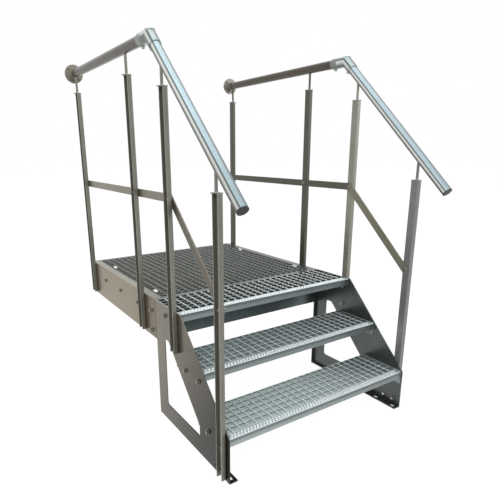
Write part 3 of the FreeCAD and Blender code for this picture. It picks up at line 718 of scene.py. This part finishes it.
# Painted light, shade and reflection: the posts are one channel in four brightnesses, the left
# ones warm, the right foot post cool, the right middle and rear posts shaded, the right front post
# lit.
POST = Finish("zinc_post", (98, 97, 88), (134, 133, 124), (236, 236, 230), 0.30, 0.45,
              clouds=0.5, edge_amount=0.8)
DARK_POST = Finish("zinc_shaded_post", (64, 63, 56), (96, 95, 86), (206, 206, 198), 0.30, 0.6,
                   clouds=0.5, edge_amount=0.8)
LIT_POST = Finish("zinc_lit_post", (116, 115, 105), (154, 153, 143), (236, 236, 230),
                   0.30, 0.5, clouds=0.5, edge_amount=0.8)
RIGHT_POST = Finish("zinc_right_post", (100, 102, 101), (136, 138, 137), (226, 226, 224),
                    0.30, 0.5, clouds=0.5, edge_amount=0.8)
# Painted reflection: the level tubes and the sloped tubes are one tube; the level ones are painted
# dark brown, the sloped ones blue-grey.
LEVEL_TUBE = Finish("zinc_level_tube", (66, 62, 55), (95, 90, 81), (200, 196, 190), 0.24, 0.8,
                    crystals=110.0, clouds=0.5)
# Painted reflection, highlight and shade across the handrail tubes, set by how far each face is
# turned to an axis.
TUBE_REFLECTION_BANDS = (
    (0.0, (70, 72, 68)), (0.09, (92, 92, 86)), (0.17, (214, 214, 206)),
    (0.29, (226, 227, 220)), (0.345, (84, 94, 96)), (0.43, (96, 110, 112)),
    (0.49, (186, 206, 213)), (0.62, (146, 167, 175)), (0.80, (138, 156, 162)),
    (0.92, (124, 136, 139)), (0.965, (64, 72, 74)), (1.0, (50, 58, 60)),
)
# The same painted reflection, highlight and shade across the front halves of the elbows.
KNUCKLE_REFLECTION_BANDS = (
    (0.0, (70, 74, 72)), (0.10, (112, 116, 112)), (0.2, (216, 218, 212)),
    (0.31, (214, 218, 213)), (0.36, (66, 74, 74)), (0.44, (84, 94, 94)),
    (0.51, (160, 174, 176)), (0.66, (136, 150, 152)), (0.84, (122, 134, 135)),
    (0.94, (92, 102, 103)), (1.0, (54, 60, 61)),
)
LEFT_REFLECTION = ReflectionBands((0.81, -0.409, 0.423), TUBE_REFLECTION_BANDS, 0.9)
RIGHT_REFLECTION = ReflectionBands((0.515, -0.596, 0.616), TUBE_REFLECTION_BANDS, 0.9)
# Painted shade: the left sloped tube is darker towards its lower end.
LEFT_TUBE = Finish("zinc_left_tube", (142, 162, 168), (186, 202, 207), (240, 246, 248),
                   0.38, 0.35, crystals=110.0, contrast=0.4,
                   shading_ramps=(ShadingRamp(UPWARDS, 0.66, 0.24, 0.8, 1.02),), reflection_bands=LEFT_REFLECTION)
RIGHT_TUBE = Finish("zinc_right_tube", (142, 150, 156), (186, 194, 200), (240, 246, 248),
                    0.38, 0.35, crystals=110.0, contrast=0.4, reflection_bands=RIGHT_REFLECTION)
LEFT_CAST = make_elbow("left", LEFT_REFLECTION)
RIGHT_CAST = make_elbow("right", RIGHT_REFLECTION)
CAST = Finish("zinc_cast_fitting", (96, 102, 97), (150, 158, 152), (240, 246, 244), 0.28, 0.6,
              crystals=240.0, relief=0.2, edge_amount=0.8)
WALL_CAST = Finish("zinc_wall_fitting", (104, 101, 93), (156, 152, 142), (236, 234, 226),
                   0.30, 0.5, crystals=240.0, relief=0.2, edge_amount=0.9)
# Painted light and shade: the left knee rail is darker in front of y -1.15; the right one, a
# darker copy, is brighter in front of it and darker behind.
KNEE = Finish("zinc_knee_rail", (100, 95, 84), (140, 134, 120), (226, 224, 214), 0.32, 0.7,
              clouds=0.5, shading_ramps=(ShadingRamp(ALONG_Y, -1.15, 0.01, 0.6, 1.0),))
DARK_KNEE = Finish("zinc_right_knee_rail", (84, 83, 71), (116, 115, 100), (206, 204, 194),
                   0.42, 0.5, clouds=0.5, shading_ramps=(ShadingRamp(ALONG_Y, -1.15, 0.01, 1.5, 0.66),))
BOLT = Finish("zinc_bolt", (78, 74, 63), (136, 131, 117), (240, 240, 234), 0.26, 0.75,
              crystals=300.0, edge_amount=0.9)
CLIP = Finish("zinc_clip", (196, 200, 198), (240, 242, 240), (250, 250, 250), 0.30, 0.5,
              crystals=300.0)
# Dark brown heads on the bolts in the spare holes of the side plates.
BROWN_BOLT = Finish("dark_brown_bolt", (74, 60, 42), (124, 106, 82), (206, 196, 176), 0.30, 0.7,
                    crystals=300.0, edge_amount=0.9)
WELD = Finish("zinc_weld", (120, 124, 122), (188, 192, 190), (226, 228, 226), 0.42, 0.7,
              crystals=500.0, relief=0.5)
# Painted shade: a dark colour on the floor of each nosing button, standing in for the shade of a
# hole.
SHADE = Finish("painted_hole_shade", (26, 30, 31), (46, 52, 53), (70, 76, 78), 0.60, 0.2)
PLUG = Finish("black_plug", (22, 23, 24), (40, 41, 42), (60, 60, 60), 0.50, 0.0,
              crystals=600.0, relief=0.25)


class Wardrobe:
    """Builds the finishes and puts them on nodes and pieces."""

    def __init__(self) -> None:
        """Makes the node groups that the finishes share."""
        self.groups = NodeGroups(make_zinc_group(), make_side_shade_group(), make_shading_ramp_group(),
                                 make_face_group(), make_edge_highlight_group())
        self.made: dict[str, bpy.types.Material] = {}

    def material(self, finish: Finish) -> bpy.types.Material:
        """Returns the material of a finish, made the first time it is asked for.

        Args:
            finish: The finish.

        Returns:
            Its material.
        """
        if finish.name not in self.made:
            self.made[finish.name] = finish.build(self.groups)
        return self.made[finish.name]

    def dress_node(self, name: str, finish: Finish) -> None:
        """Puts a finish on every slot of a CAD node.

        Args:
            name: The name of the node.
            finish: The finish.
        """
        material = self.material(finish)
        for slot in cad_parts[name].material_slots:
            slot.material = material

    def dress_piece(self, piece: Piece, *finishes: Finish) -> None:
        """Gives a new piece its finishes, in the order of its material indices.

        Args:
            piece: The piece.
            *finishes: Its finishes.
        """
        piece.data.materials.clear()
        for finish in finishes:
            piece.data.materials.append(self.material(finish))


# Places on the stair


@dataclass(frozen=True)
class Layout:
    """Places on the stair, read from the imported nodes."""

    front: float
    ground: float
    inner: float
    outer: float
    plate_inside: float
    post_web: float

    @classmethod
    def from_frame(cls) -> "Layout":
        """Reads the places from the boxes of the nodes.

        Returns:
            The layout.
        """
        low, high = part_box("cheek_right")
        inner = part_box("lower_step_grating")[1].x
        return cls(front=low.y, ground=low.z, inner=inner, outer=high.x,
                   plate_inside=inner - END_PLATE, post_web=high.x + POST_PLATE)

    def y(self, run: float) -> float:
        """The place along Y of a run."""
        return self.front + run * MM

    def z(self, height: float) -> float:
        """The place along Z of a height."""
        return self.ground + height * MM

    def rail_height(self, run: float) -> float:
        """The height of the handrail's axis at a run."""
        return RAIL_HEIGHT - max(0.0, ELBOW_RUN - run) * math.tan(RAIL_SLOPE)


@dataclass(frozen=True)
class BoltPlace:
    """A bolt through a side of the stair, by its run and height."""

    run: float
    height: float
    through_post: bool
    through_step: bool


# Parts


@dataclass
class SubAssembly:
    """A group of small parts that a class builds and dresses."""

    layout: Layout
    wardrobe: Wardrobe
    pieces: list[Piece] = field(default_factory=list)

    def keep(self, piece: Piece, slot: str, *finishes: Finish) -> None:
        """Dresses a finished piece, puts it on the stair and reports it.

        Args:
            piece: The finished piece.
            slot: The record's material slot; not used.
            *finishes: Its finishes in the order of its material indices.
        """
        self.wardrobe.dress_piece(piece, *finishes)
        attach(piece, "root")
        self.pieces.append(piece)
        log.info("%s has %d faces", piece.name, len(piece.data.polygons))


@dataclass
class Bolts(SubAssembly):
    """The bolts, nuts and washers that hold the stair together."""

    finish: Finish = BOLT
    across_flats: float = 18 * MM
    head_height: float = 7.5 * MM
    nut_height: float = 9 * MM
    chamfer: float = 1.6 * MM
    washer_radius: float = 12 * MM
    washer_plate: float = 2.2 * MM
    washer_edge: float = 0.4 * MM
    shank_radius: float = 6 * MM
    thread_end: float = 4 * MM
    thread_pitch: float = 1.75 * MM
    thread_depth: float = 0.7 * MM
    places: tuple[BoltPlace, ...] = (
        BoltPlace(40, 143, True, True),
        BoltPlace(156, 146, False, True),
        BoltPlace(40, 34, True, False),
        BoltPlace(227, 339, False, True),
        BoltPlace(342, 339, False, True),
        BoltPlace(416, 531, True, True),
        BoltPlace(522, 532, False, True),
        BoltPlace(416, 430, True, False),
        BoltPlace(673, 513, False, False),
        BoltPlace(673, 415, False, False),
        BoltPlace(762, 513, True, False),
        BoltPlace(762, 412, True, False),
        BoltPlace(1520, 513, True, False),
        BoltPlace(1520, 412, True, False),
    )

    def hexagon(self, name: str, height: float) -> Piece:
        """Makes a hexagon on the washer, with the round chamfer of a bolt head or nut.

        Args:
            name: The name of the new object.
            height: How high it stands on the washer.

        Returns:
            The closed solid.
        """
        low = self.washer_plate
        flat = self.across_flats / 2
        corner = flat / math.cos(math.radians(30))
        prism = Modeller.turned(name, 6, ((corner, low), (corner, low + height)))
        dome = Modeller.turned(f"{name}_dome", 24, (
            (corner + MM, low - MM),
            (corner + 0.3 * MM, low + height - self.chamfer),
            (flat - 0.4 * MM, low + height),
        ))
        return Modeller.boolean(prism, dome, "INTERSECT")

    def washer(self, name: str) -> Piece:
        """Makes a washer that lies on a plate."""
        return Modeller.turned(name, 24, (
            (self.washer_radius, 0),
            (self.washer_radius, self.washer_plate - self.washer_edge),
            (self.washer_radius - self.washer_edge, self.washer_plate),
        ))

    def head(self) -> Piece:
        """Makes the head of a bolt on its washer, upwards from zero."""
        return Modeller.join("bolt_head", (self.hexagon("head", self.head_height),
                                           self.washer("head_washer")))

    def nut(self) -> Piece:
        """Makes a nut on its washer with the end of the bolt, upwards from zero.

        Returns:
            The joined object.
        """
        base = self.washer_plate + self.nut_height
        radius = self.shank_radius
        rings = [(radius, self.washer_plate), (radius, base)]
        for turn in range(int(self.thread_end / self.thread_pitch)):
            rings.append((radius - self.thread_depth, base + (turn + 0.5) * self.thread_pitch))
            rings.append((radius, base + (turn + 1) * self.thread_pitch))
        rings.append((radius - MM, base + self.thread_end + 0.6 * MM))
        return Modeller.join("bolt_nut", (self.hexagon("nut", self.nut_height),
                                          self.washer("nut_washer"),
                                          Modeller.turned("bolt_end", 16, rings)))

    def fasten(self, name: str, label: str, heads: list[Matrix], nuts: list[Matrix]) -> None:
        """Makes the heads and the nuts of one side.

        Args:
            name: What the names of the pieces start with.
            label: The side.
            heads: Where the heads go.
            nuts: Where the nuts go.
        """
        for part, model, placements in (("heads", self.head(), heads),
                                        ("nuts", self.nut(), nuts)):
            piece = Modeller.spread(f"{name}_{part}_{label}", model, placements)
            self.keep(Modeller.smooth(piece), "galvanised_frame", self.finish)

    def build(self) -> None:
        """Places the heads outside and the nuts inside, on both sides."""
        layout = self.layout
        for label, side in SIDES.items():
            heads, nuts = [], []
            for place in self.places:
                outside = layout.post_web if place.through_post else layout.outer
                inside = layout.plate_inside if place.through_step else layout.inner
                y, z = layout.y(place.run), layout.z(place.height)
                heads.append(facing((side * outside, y, z), Direction.along_x(side)))
                nuts.append(facing((side * inside, y, z), Direction.along_x(-side)))
            self.fasten("bolt", label, heads, nuts)


@dataclass
class RailBolts(Bolts):
    """The smaller bolts that hold the knee rails to the posts."""

    across_flats: float = 15 * MM
    head_height: float = 5.5 * MM
    nut_height: float = 7 * MM
    washer_radius: float = 9.5 * MM
    washer_plate: float = 1.6 * MM
    shank_radius: float = 5 * MM
    thread_end: float = 3 * MM
    rail_half: float = 17.5 * MM
    front_drop: float = 1 * MM
    foot_rise: float = 7 * MM

    def build(self) -> None:
        """Places the heads on the knee rails and the nuts in the posts."""
        layout = self.layout
        foot, front, middle, rear = (layout.y(run) for run in POST_RUNS.values())
        for label, side in SIDES.items():
            low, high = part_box(f"knee_rail_{label}")
            level = high.z - self.rail_half
            fall = (front - foot) * math.tan(RAIL_SLOPE)
            places = ((rear, level), (middle, level), (front, level - self.front_drop),
                      (foot, level - fall + self.foot_rise))
            inside = min(abs(low.x), abs(high.x))
            heads = [facing((side * inside, y, z), Direction.along_x(-side)) for y, z in places]
            nuts = [facing((side * layout.post_web, y, z), Direction.along_x(side))
                    for y, z in places]
            self.fasten("knee_bolt", label, heads, nuts)


@dataclass
class SideBolts(RailBolts):
    """The small bolts in the spare holes of the platform's side plates."""

    finish: Finish = BROWN_BOLT
    washer_radius: float = 8.2 * MM
    runs: tuple[float, ...] = (843.0, 1086.0, 1329.0)
    height: float = 507.0

    def build(self) -> None:
        """Places the heads outside and the nuts inside, on both sides."""
        layout = self.layout
        z = layout.z(self.height)
        rows = [layout.y(run) for run in self.runs]
        for label, side in SIDES.items():
            heads = [facing((side * layout.outer, y, z), Direction.along_x(side)) for y in rows]
            nuts = [facing((side * layout.inner, y, z), Direction.along_x(-side)) for y in rows]
            self.fasten("side_bolt", label, heads, nuts)


@dataclass
class Rods(SubAssembly):
    """The twisted cross rods of the gratings."""

    width: float = 5.6 * MM
    pitch: float = 38.1 * MM
    twist_length: float = 46 * MM
    cuts_per_turn: int = 8
    margin: float = 3 * MM
    nosing_depth: float = 31 * MM
    lift: float = 0.3 * MM

    def rod(self, length: float) -> Piece:
        """Makes one square rod along Y, from zero, twisted about its length.

        Args:
            length: The length of the rod.

        Returns:
            The rod.
        """
        turns = max(1, round(length / self.twist_length))
        cuts = turns * self.cuts_per_turn
        Modeller.deselect()
        bpy.ops.mesh.primitive_plane_add(size=self.width, location=(0, 0, 0))
        Modeller.edit_all()
        for _ in range(cuts):
            Modeller.extrude((0, 0, length / cuts))
        rod = Modeller.close("rod")
        Modeller.apply(rod, "SIMPLE_DEFORM", deform_method="TWIST", deform_axis="Z",
                       angle=math.radians(180 * turns))
        rod.data.transform(Matrix.Rotation(-math.pi / 2, 4, "X"))
        return rod

    def lay(self, label: str, front_margin: float, finish: Finish) -> None:
        """Lays the rods of one grating.

        Args:
            label: The step or the platform.
            front_margin: How far behind the grating's front the rods start.
            finish: The finish of the rods.
        """
        name = f"{label}_grating"
        low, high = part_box(name)
        left, right = low.x + self.margin, high.x - self.margin
        start = low.y + front_margin
        length = high.y - self.margin - start
        count = round((right - left) / self.pitch)
        height = high.z - self.width / 2 + self.lift
        placements = [
            Matrix.Translation((left + (right - left) * index / count, start, height))
            for index in range(1, count)
        ]
        piece = Modeller.spread(f"{label}_rods", self.rod(length), placements)
        self.keep(Modeller.smooth(piece, 50), "galvanised_grating", finish)

    def build(self) -> None:
        """Lays the rods of the three steps and of the platform."""
        for step in STEP_NAMES:
            self.lay(step, self.nosing_depth, ROD)
        self.lay("platform", self.margin, DARK_ROD)


@dataclass
class NosingButtons(SubAssembly):
    """The punched anti-slip buttons along the top of each nosing."""

    pitch: float = 15.5 * MM
    rows: tuple[float, ...] = (9 * MM, 21.5 * MM)
    radius: float = 5.4 * MM
    margin: float = 14 * MM
    rings: tuple[Ring, ...] = ((1, -0.2 * MM), (1, 0), (0.82, 1.1 * MM), (0.62, 1 * MM),
                               (0.55, 0.15 * MM))

    def build(self) -> None:
        """Sets two rows of buttons on each nosing, the second shifted by half a pitch."""
        for step in STEP_NAMES:
            low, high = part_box(f"{step}_nosing")
            count = int((high.x - low.x - 2 * self.margin) / self.pitch)
            rows = []
            for number, row in enumerate(self.rows):
                button = Modeller.turned("button", 10, [
                    (ratio * self.radius, height) for ratio, height in self.rings])
                shift = number * self.pitch / 2
                button.data.transform(Matrix.Translation(
                    (low.x + self.margin + shift, low.y + row, high.z)))
                Modeller.apply(button, "ARRAY", count=count, use_relative_offset=False,
                               use_constant_offset=True,
                               constant_offset_displace=(self.pitch, 0, 0))
                rows.append(button)
            piece = Modeller.join(f"{step}_buttons", rows)
            for face in piece.data.polygons:
                # The floors of the buttons get the painted shade of a hole.
                deep = face.center.z < high.z + 0.3 * MM and face.normal.z > 0.9
                face.material_index = 1 if deep else 0
            self.keep(Modeller.smooth(piece, 60), "galvanised_nosing", BUTTON, SHADE)


@dataclass
class GratingClips(SubAssembly):
    """The saddle clips that hold the platform's grating down."""

    runs: tuple[float, ...] = (756, 1329)
    inset: float = 20 * MM
    length: float = 24 * MM
    width: float = 18 * MM
    plate: float = 2 * MM
    drop: float = 4 * MM
    round_edge: float = 0.6 * MM
    screw: tuple[Ring, ...] = ((6.5 * MM, 0), (6.5 * MM, 1.2 * MM), (5.2 * MM, 3 * MM),
                               (3 * MM, 4 * MM), (2.6 * MM, 2.4 * MM))

    def clip(self) -> Piece:
        """Makes one clip: a strap bent down at both ends, with its screw.

        Returns:
            The joined object.
        """
        Modeller.deselect()
        bpy.ops.mesh.primitive_cube_add(size=1, location=(0, 0, self.plate / 2),
                                        scale=(self.width, self.length, self.plate))
        bpy.ops.object.transform_apply(location=True, rotation=True, scale=True)
        strap = bpy.context.active_object
        for end in (-1, 1):
            Modeller.select_only(strap)
            bpy.ops.object.mode_set(mode="EDIT")
            bpy.ops.mesh.select_all(action="DESELECT")
            bpy.ops.object.mode_set(mode="OBJECT")
            for face in strap.data.polygons:
                face.select = face.normal.y * end > 0.9
            bpy.ops.object.mode_set(mode="EDIT")
            Modeller.extrude((0, end * self.plate * 2, -self.drop))
        strap = Modeller.close("strap")
        Modeller.apply(strap, "BEVEL", width=self.round_edge, segments=2)
        dome = Modeller.turned("clip_screw", 16, [
            (radius, self.plate + height) for radius, height in self.screw])
        return Modeller.join("clip", (strap, dome))

    def build(self) -> None:
        """Places the clips beside both side flanges."""
        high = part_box("platform_grating")[1]
        placements = [
            Matrix.Translation((side * (high.x - self.inset), self.layout.y(run), high.z))
            for side in SIDES.values() for run in self.runs
        ]
        piece = Modeller.spread("grating_clips", self.clip(), placements)
        self.keep(Modeller.smooth(piece), "galvanised_grating", CLIP)


@dataclass
class Screws(SubAssembly):
    """The wall screws, and the set screws of the elbows and the wall discs."""

    reach: float = 32 * MM
    disc_plate: float = 8 * MM
    disc_circle: float = 38 * MM
    disc_screw: float = 23 * MM
    rear_screw: float = 70.9 * MM
    front_screw: float = 42.9 * MM
    wall_head: Ring = (7.5 * MM, 4.5 * MM)
    set_head: Ring = (5.2 * MM, 2 * MM)

    def pan_head(self, name: str, radius: float, height: float) -> Piece:
        """Makes a domed screw head with a six-sided key hole, upwards from zero.

        Args:
            name: The name of the new object.
            radius: The radius of the head.
            height: The height of the head.

        Returns:
            The closed solid.
        """
        dome = Modeller.turned(name, 20, (
            (radius, -0.5 * MM),
            (radius, 0.25 * height),
            (0.92 * radius, 0.6 * height),
            (0.7 * radius, 0.9 * height),
            (0.45 * radius, height),
        ))
        key = Modeller.turned(f"{name}_key", 6, (
            (0.36 * radius, 0.35 * height), (0.36 * radius, 1.5 * height)))
        return Modeller.boolean(dome, key, "DIFFERENCE")

    def build(self) -> None:
        """Places four screws in each wall disc and a set screw in every boss."""
        corner = self.disc_circle * math.sqrt(0.5)
        pivot = self.layout.y(ELBOW_RUN)
        down = (0, math.sin(RAIL_SLOPE), -math.cos(RAIL_SLOPE))
        for label in SIDES:
            low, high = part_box(f"wall_disc_{label}")
            x = (low.x + high.x) / 2
            z = high.z - (high.x - low.x) / 2
            face = high.y - self.disc_plate
            wall = [facing((x + dx * corner, face, z + dz * corner), Direction.FRONT)
                    for dx in (-1, 1) for dz in (-1, 1)]
            below = [
                facing((x, high.y - self.disc_screw, z - self.reach), Direction.DOWN),
                facing((x, pivot + self.rear_screw, z - self.reach), Direction.DOWN),
                facing((x, pivot + self.front_screw * down[2] + self.reach * down[1],
                        z - self.front_screw * down[1] + self.reach * down[2]), down),
            ]
            for name, head, placements in (("wall_screw", self.wall_head, wall),
                                           ("set_screw", self.set_head, below)):
                piece = Modeller.spread(f"{name}s_{label}", self.pan_head(name, *head),
                                        placements)
                self.keep(Modeller.smooth(piece), "cast_fitting", BOLT)


@dataclass
class WeldBeads(SubAssembly):
    """The weld beads at the feet of the rods that carry the handrails."""

    rod_radius: float = 6 * MM
    rod_offset: float = 15 * MM
    cap_drop: float = 102.0
    bead: float = 3.2 * MM

    def build(self) -> None:
        """Puts a bead round each rod where it meets the cap of its post."""
        layout = self.layout
        for label, side in SIDES.items():
            x = side * (layout.outer + self.rod_offset)
            spots = []
            for place, run in POST_RUNS.items():
                low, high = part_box(f"post_{place}_{label}")
                z = layout.z(layout.rail_height(run) - self.cap_drop)
                spots.append(Matrix.Translation((x, (low.y + high.y) / 2, z)))
            ring = Modeller.turned("bead", 14, (
                (self.rod_radius + self.bead, -0.1 * MM),
                (self.rod_radius + self.bead, 0.3 * MM),
                (self.rod_radius + 0.62 * self.bead, 0.75 * self.bead),
                (self.rod_radius + 0.2 * self.bead, 1.15 * self.bead),
                (0.9 * self.rod_radius, 1.35 * self.bead),
            ))
            piece = Modeller.spread(f"weld_beads_{label}", ring, spots)
            self.keep(Modeller.smooth(piece, 60), "galvanised_post", WELD)


# Scene


@dataclass(frozen=True)
class Lamp:
    """A square soft lamp, with its place, size, power and linear colour."""

    name: str
    place: Axis
    size: float
    power: float
    colour: tuple[float, float, float]


@dataclass(frozen=True)
class Studio:
    """The camera, the floor and the light."""

    eye: Axis = (-1.3063, -2.8169, 0.7580)
    azimuth: float = 32.91
    pitch: float = -15.66
    roll: float = -0.4
    focal_pixels: float = 460.39
    frame_pixels: float = 500.0
    axis_pixel: tuple[float, float] = (230.53, 279.19)
    sensor: float = 36.0
    middle: Axis = (0.0, -0.9, 0.4)
    lamps: tuple[Lamp, ...] = (
        Lamp("overhead", (0.2, -1.2, 4.2), 3.2, 74, (1.0, 1.0, 1.0)),
        Lamp("key", (-3.4, -4.2, 2.6), 2.4, 60, (1.0, 0.985, 0.96)),
        Lamp("fill", (3.6, -3.6, 2.0), 2.8, 34, (0.96, 0.985, 1.0)),
    )
    floor_size: float = 60.0
    floor_grey: float = 238.6
    floor_glow: float = 0.8
    floor_strength: float = 1.13
    surround: float = 0.7

    def add_camera(self) -> None:
        """Places the camera where the photograph was taken from."""
        azimuth, pitch, roll = (math.radians(a) for a in (self.azimuth, self.pitch, self.roll))
        ahead = Vector((math.sin(azimuth) * math.cos(pitch),
                        math.cos(azimuth) * math.cos(pitch), math.sin(pitch)))
        right = Vector((math.cos(azimuth), -math.sin(azimuth), 0))
        up = right.cross(ahead)
        turned_right = math.cos(roll) * right + math.sin(roll) * up
        turned_up = -math.sin(roll) * right + math.cos(roll) * up
        data = bpy.data.cameras.new("camera")
        data.sensor_width = self.sensor
        data.lens = self.focal_pixels / self.frame_pixels * self.sensor
        data.shift_x = 0.5 - self.axis_pixel[0] / self.frame_pixels
        data.shift_y = self.axis_pixel[1] / self.frame_pixels - 0.5
        camera = bpy.data.objects.new("camera", data)
        columns = Matrix((turned_right, turned_up, -ahead)).transposed().to_4x4()
        camera.matrix_world = Matrix.Translation(self.eye) @ columns
        bpy.context.scene.collection.objects.link(camera)
        bpy.context.scene.camera = camera

    def add_lamp(self, lamp: Lamp) -> None:
        """Adds a lamp that faces the middle of the stair.

        Args:
            lamp: The lamp.
        """
        data = bpy.data.lights.new(lamp.name, "AREA")
        data.shape = "SQUARE"
        data.size = lamp.size
        data.energy = lamp.power
        data.color = lamp.colour
        added = bpy.data.objects.new(lamp.name, data)
        direction = Vector(self.middle) - Vector(lamp.place)
        turn = direction.to_track_quat("-Z", "Y").to_matrix().to_4x4()
        added.matrix_world = Matrix.Translation(lamp.place) @ turn
        bpy.context.scene.collection.objects.link(added)

    def add_world(self) -> None:
        """Makes the surroundings white to the camera and to gloss, and soft grey as light."""
        world = bpy.data.worlds.new("studio")
        bpy.context.scene.world = world
        world.use_nodes = True
        graph = NodeGraph(world.node_tree)
        rays = graph.node("LightPath").outputs
        seen = graph.math("MAXIMUM", rays["Is Camera Ray"],
                          graph.math("MAXIMUM", rays["Is Glossy Ray"],
                                     rays["Is Transmission Ray"]))
        lift = graph.math("MULTIPLY", seen, 1.0 - self.surround)
        background = graph.node("Background", {
            "Color": WHITE, "Strength": graph.math("ADD", lift, self.surround)})
        graph.node("OutputWorld", {"Surface": background.outputs[0]})

    def add_floor(self, ground: float) -> None:
        """Lays a pale floor that the camera sees almost white, with the stair's soft shadow.

        Args:
            ground: The height of the ground.
        """
        Modeller.deselect()
        bpy.ops.mesh.primitive_plane_add(size=self.floor_size,
                                         location=(0, 0, ground - 0.5 * MM))
        floor = bpy.context.active_object
        floor.name = "floor"
        material = bpy.data.materials.new("pale_floor")
        material.use_nodes = True
        graph = NodeGraph(material.node_tree)
        rays = graph.node("LightPath").outputs
        seen = graph.math("MAXIMUM", rays["Is Camera Ray"], rays["Is Glossy Ray"])
        matt = graph.node("BsdfDiffuse", {"Color": (self.floor_grey,) * 3})
        glow = graph.node("Emission", {"Strength": self.floor_strength})
        mixed = graph.node("MixShader", {0: graph.math("MULTIPLY", seen, self.floor_glow),
                                         1: matt.outputs[0], 2: glow.outputs[0]})
        graph.node("OutputMaterial", {"Surface": mixed.outputs[0]})
        floor.data.materials.append(material)

    def build(self, ground: float) -> None:
        """Adds everything round the stair.

        Args:
            ground: The height of the ground.
        """
        bpy.context.scene.view_settings.view_transform = "Standard"
        self.add_camera()
        for lamp in self.lamps:
            self.add_lamp(lamp)
        self.add_world()
        self.add_floor(ground)


NODE_FINISHES: dict[str, Finish] = {
    "lower_step_grating": LOWER_GRATING,
    "middle_step_grating": MIDDLE_GRATING,
    "top_step_grating": TOP_GRATING,
    "lower_step_nosing": NOSINGS[0],
    "middle_step_nosing": NOSINGS[1],
    "top_step_nosing": NOSINGS[2],
    "platform_grating": DARK_GRATING,
    "platform_front_beam": BEAM,
    "platform_rear_beam": BEAM,
}
SIDE_FINISHES: dict[str, tuple[Finish, Finish]] = {
    "cheek": (WARM_CHEEK, COOL_PLATE),
    "platform_side": (WARM_PLATE, COOL_PLATE),
    "post_foot": (POST, RIGHT_POST),
    "post_front": (POST, LIT_POST),
    "post_middle": (POST, DARK_POST),
    "post_rear": (POST, DARK_POST),
    "handrail_level": (LEVEL_TUBE, LEVEL_TUBE),
    "handrail_slope": (LEFT_TUBE, RIGHT_TUBE),
    "elbow_rear": (CAST, CAST),
    "elbow_front": (LEFT_CAST, RIGHT_CAST),
    "wall_disc": (WALL_CAST, WALL_CAST),
    "knee_rail": (KNEE, DARK_KNEE),
    "end_plug": (PLUG, PLUG),
}


def dress_nodes(wardrobe: Wardrobe) -> None:
    """Gives each CAD node its finish.

    Args:
        wardrobe: Where the finishes are made.
    """
    for name, finish in NODE_FINISHES.items():
        wardrobe.dress_node(name, finish)
    for name, finishes in SIDE_FINISHES.items():
        for label, finish in zip(SIDES, finishes):
            wardrobe.dress_node(f"{name}_{label}", finish)


def main() -> None:
    """Builds the studio and the small parts, and dresses the stair."""
    logging.basicConfig(level=logging.INFO)
    layout = Layout.from_frame()
    Studio().build(layout.ground)
    wardrobe = Wardrobe()
    dress_nodes(wardrobe)
    makers: tuple[Callable[..., SubAssembly], ...] = (
        Bolts, RailBolts, SideBolts, Rods, NosingButtons, GratingClips, Screws, WeldBeads)
    for maker in makers:
        assembly = maker(layout, wardrobe)
        assembly.build()
        log.info("%s added %d pieces", maker.__name__, len(assembly.pieces))


if __name__ == "__main__":
    main()
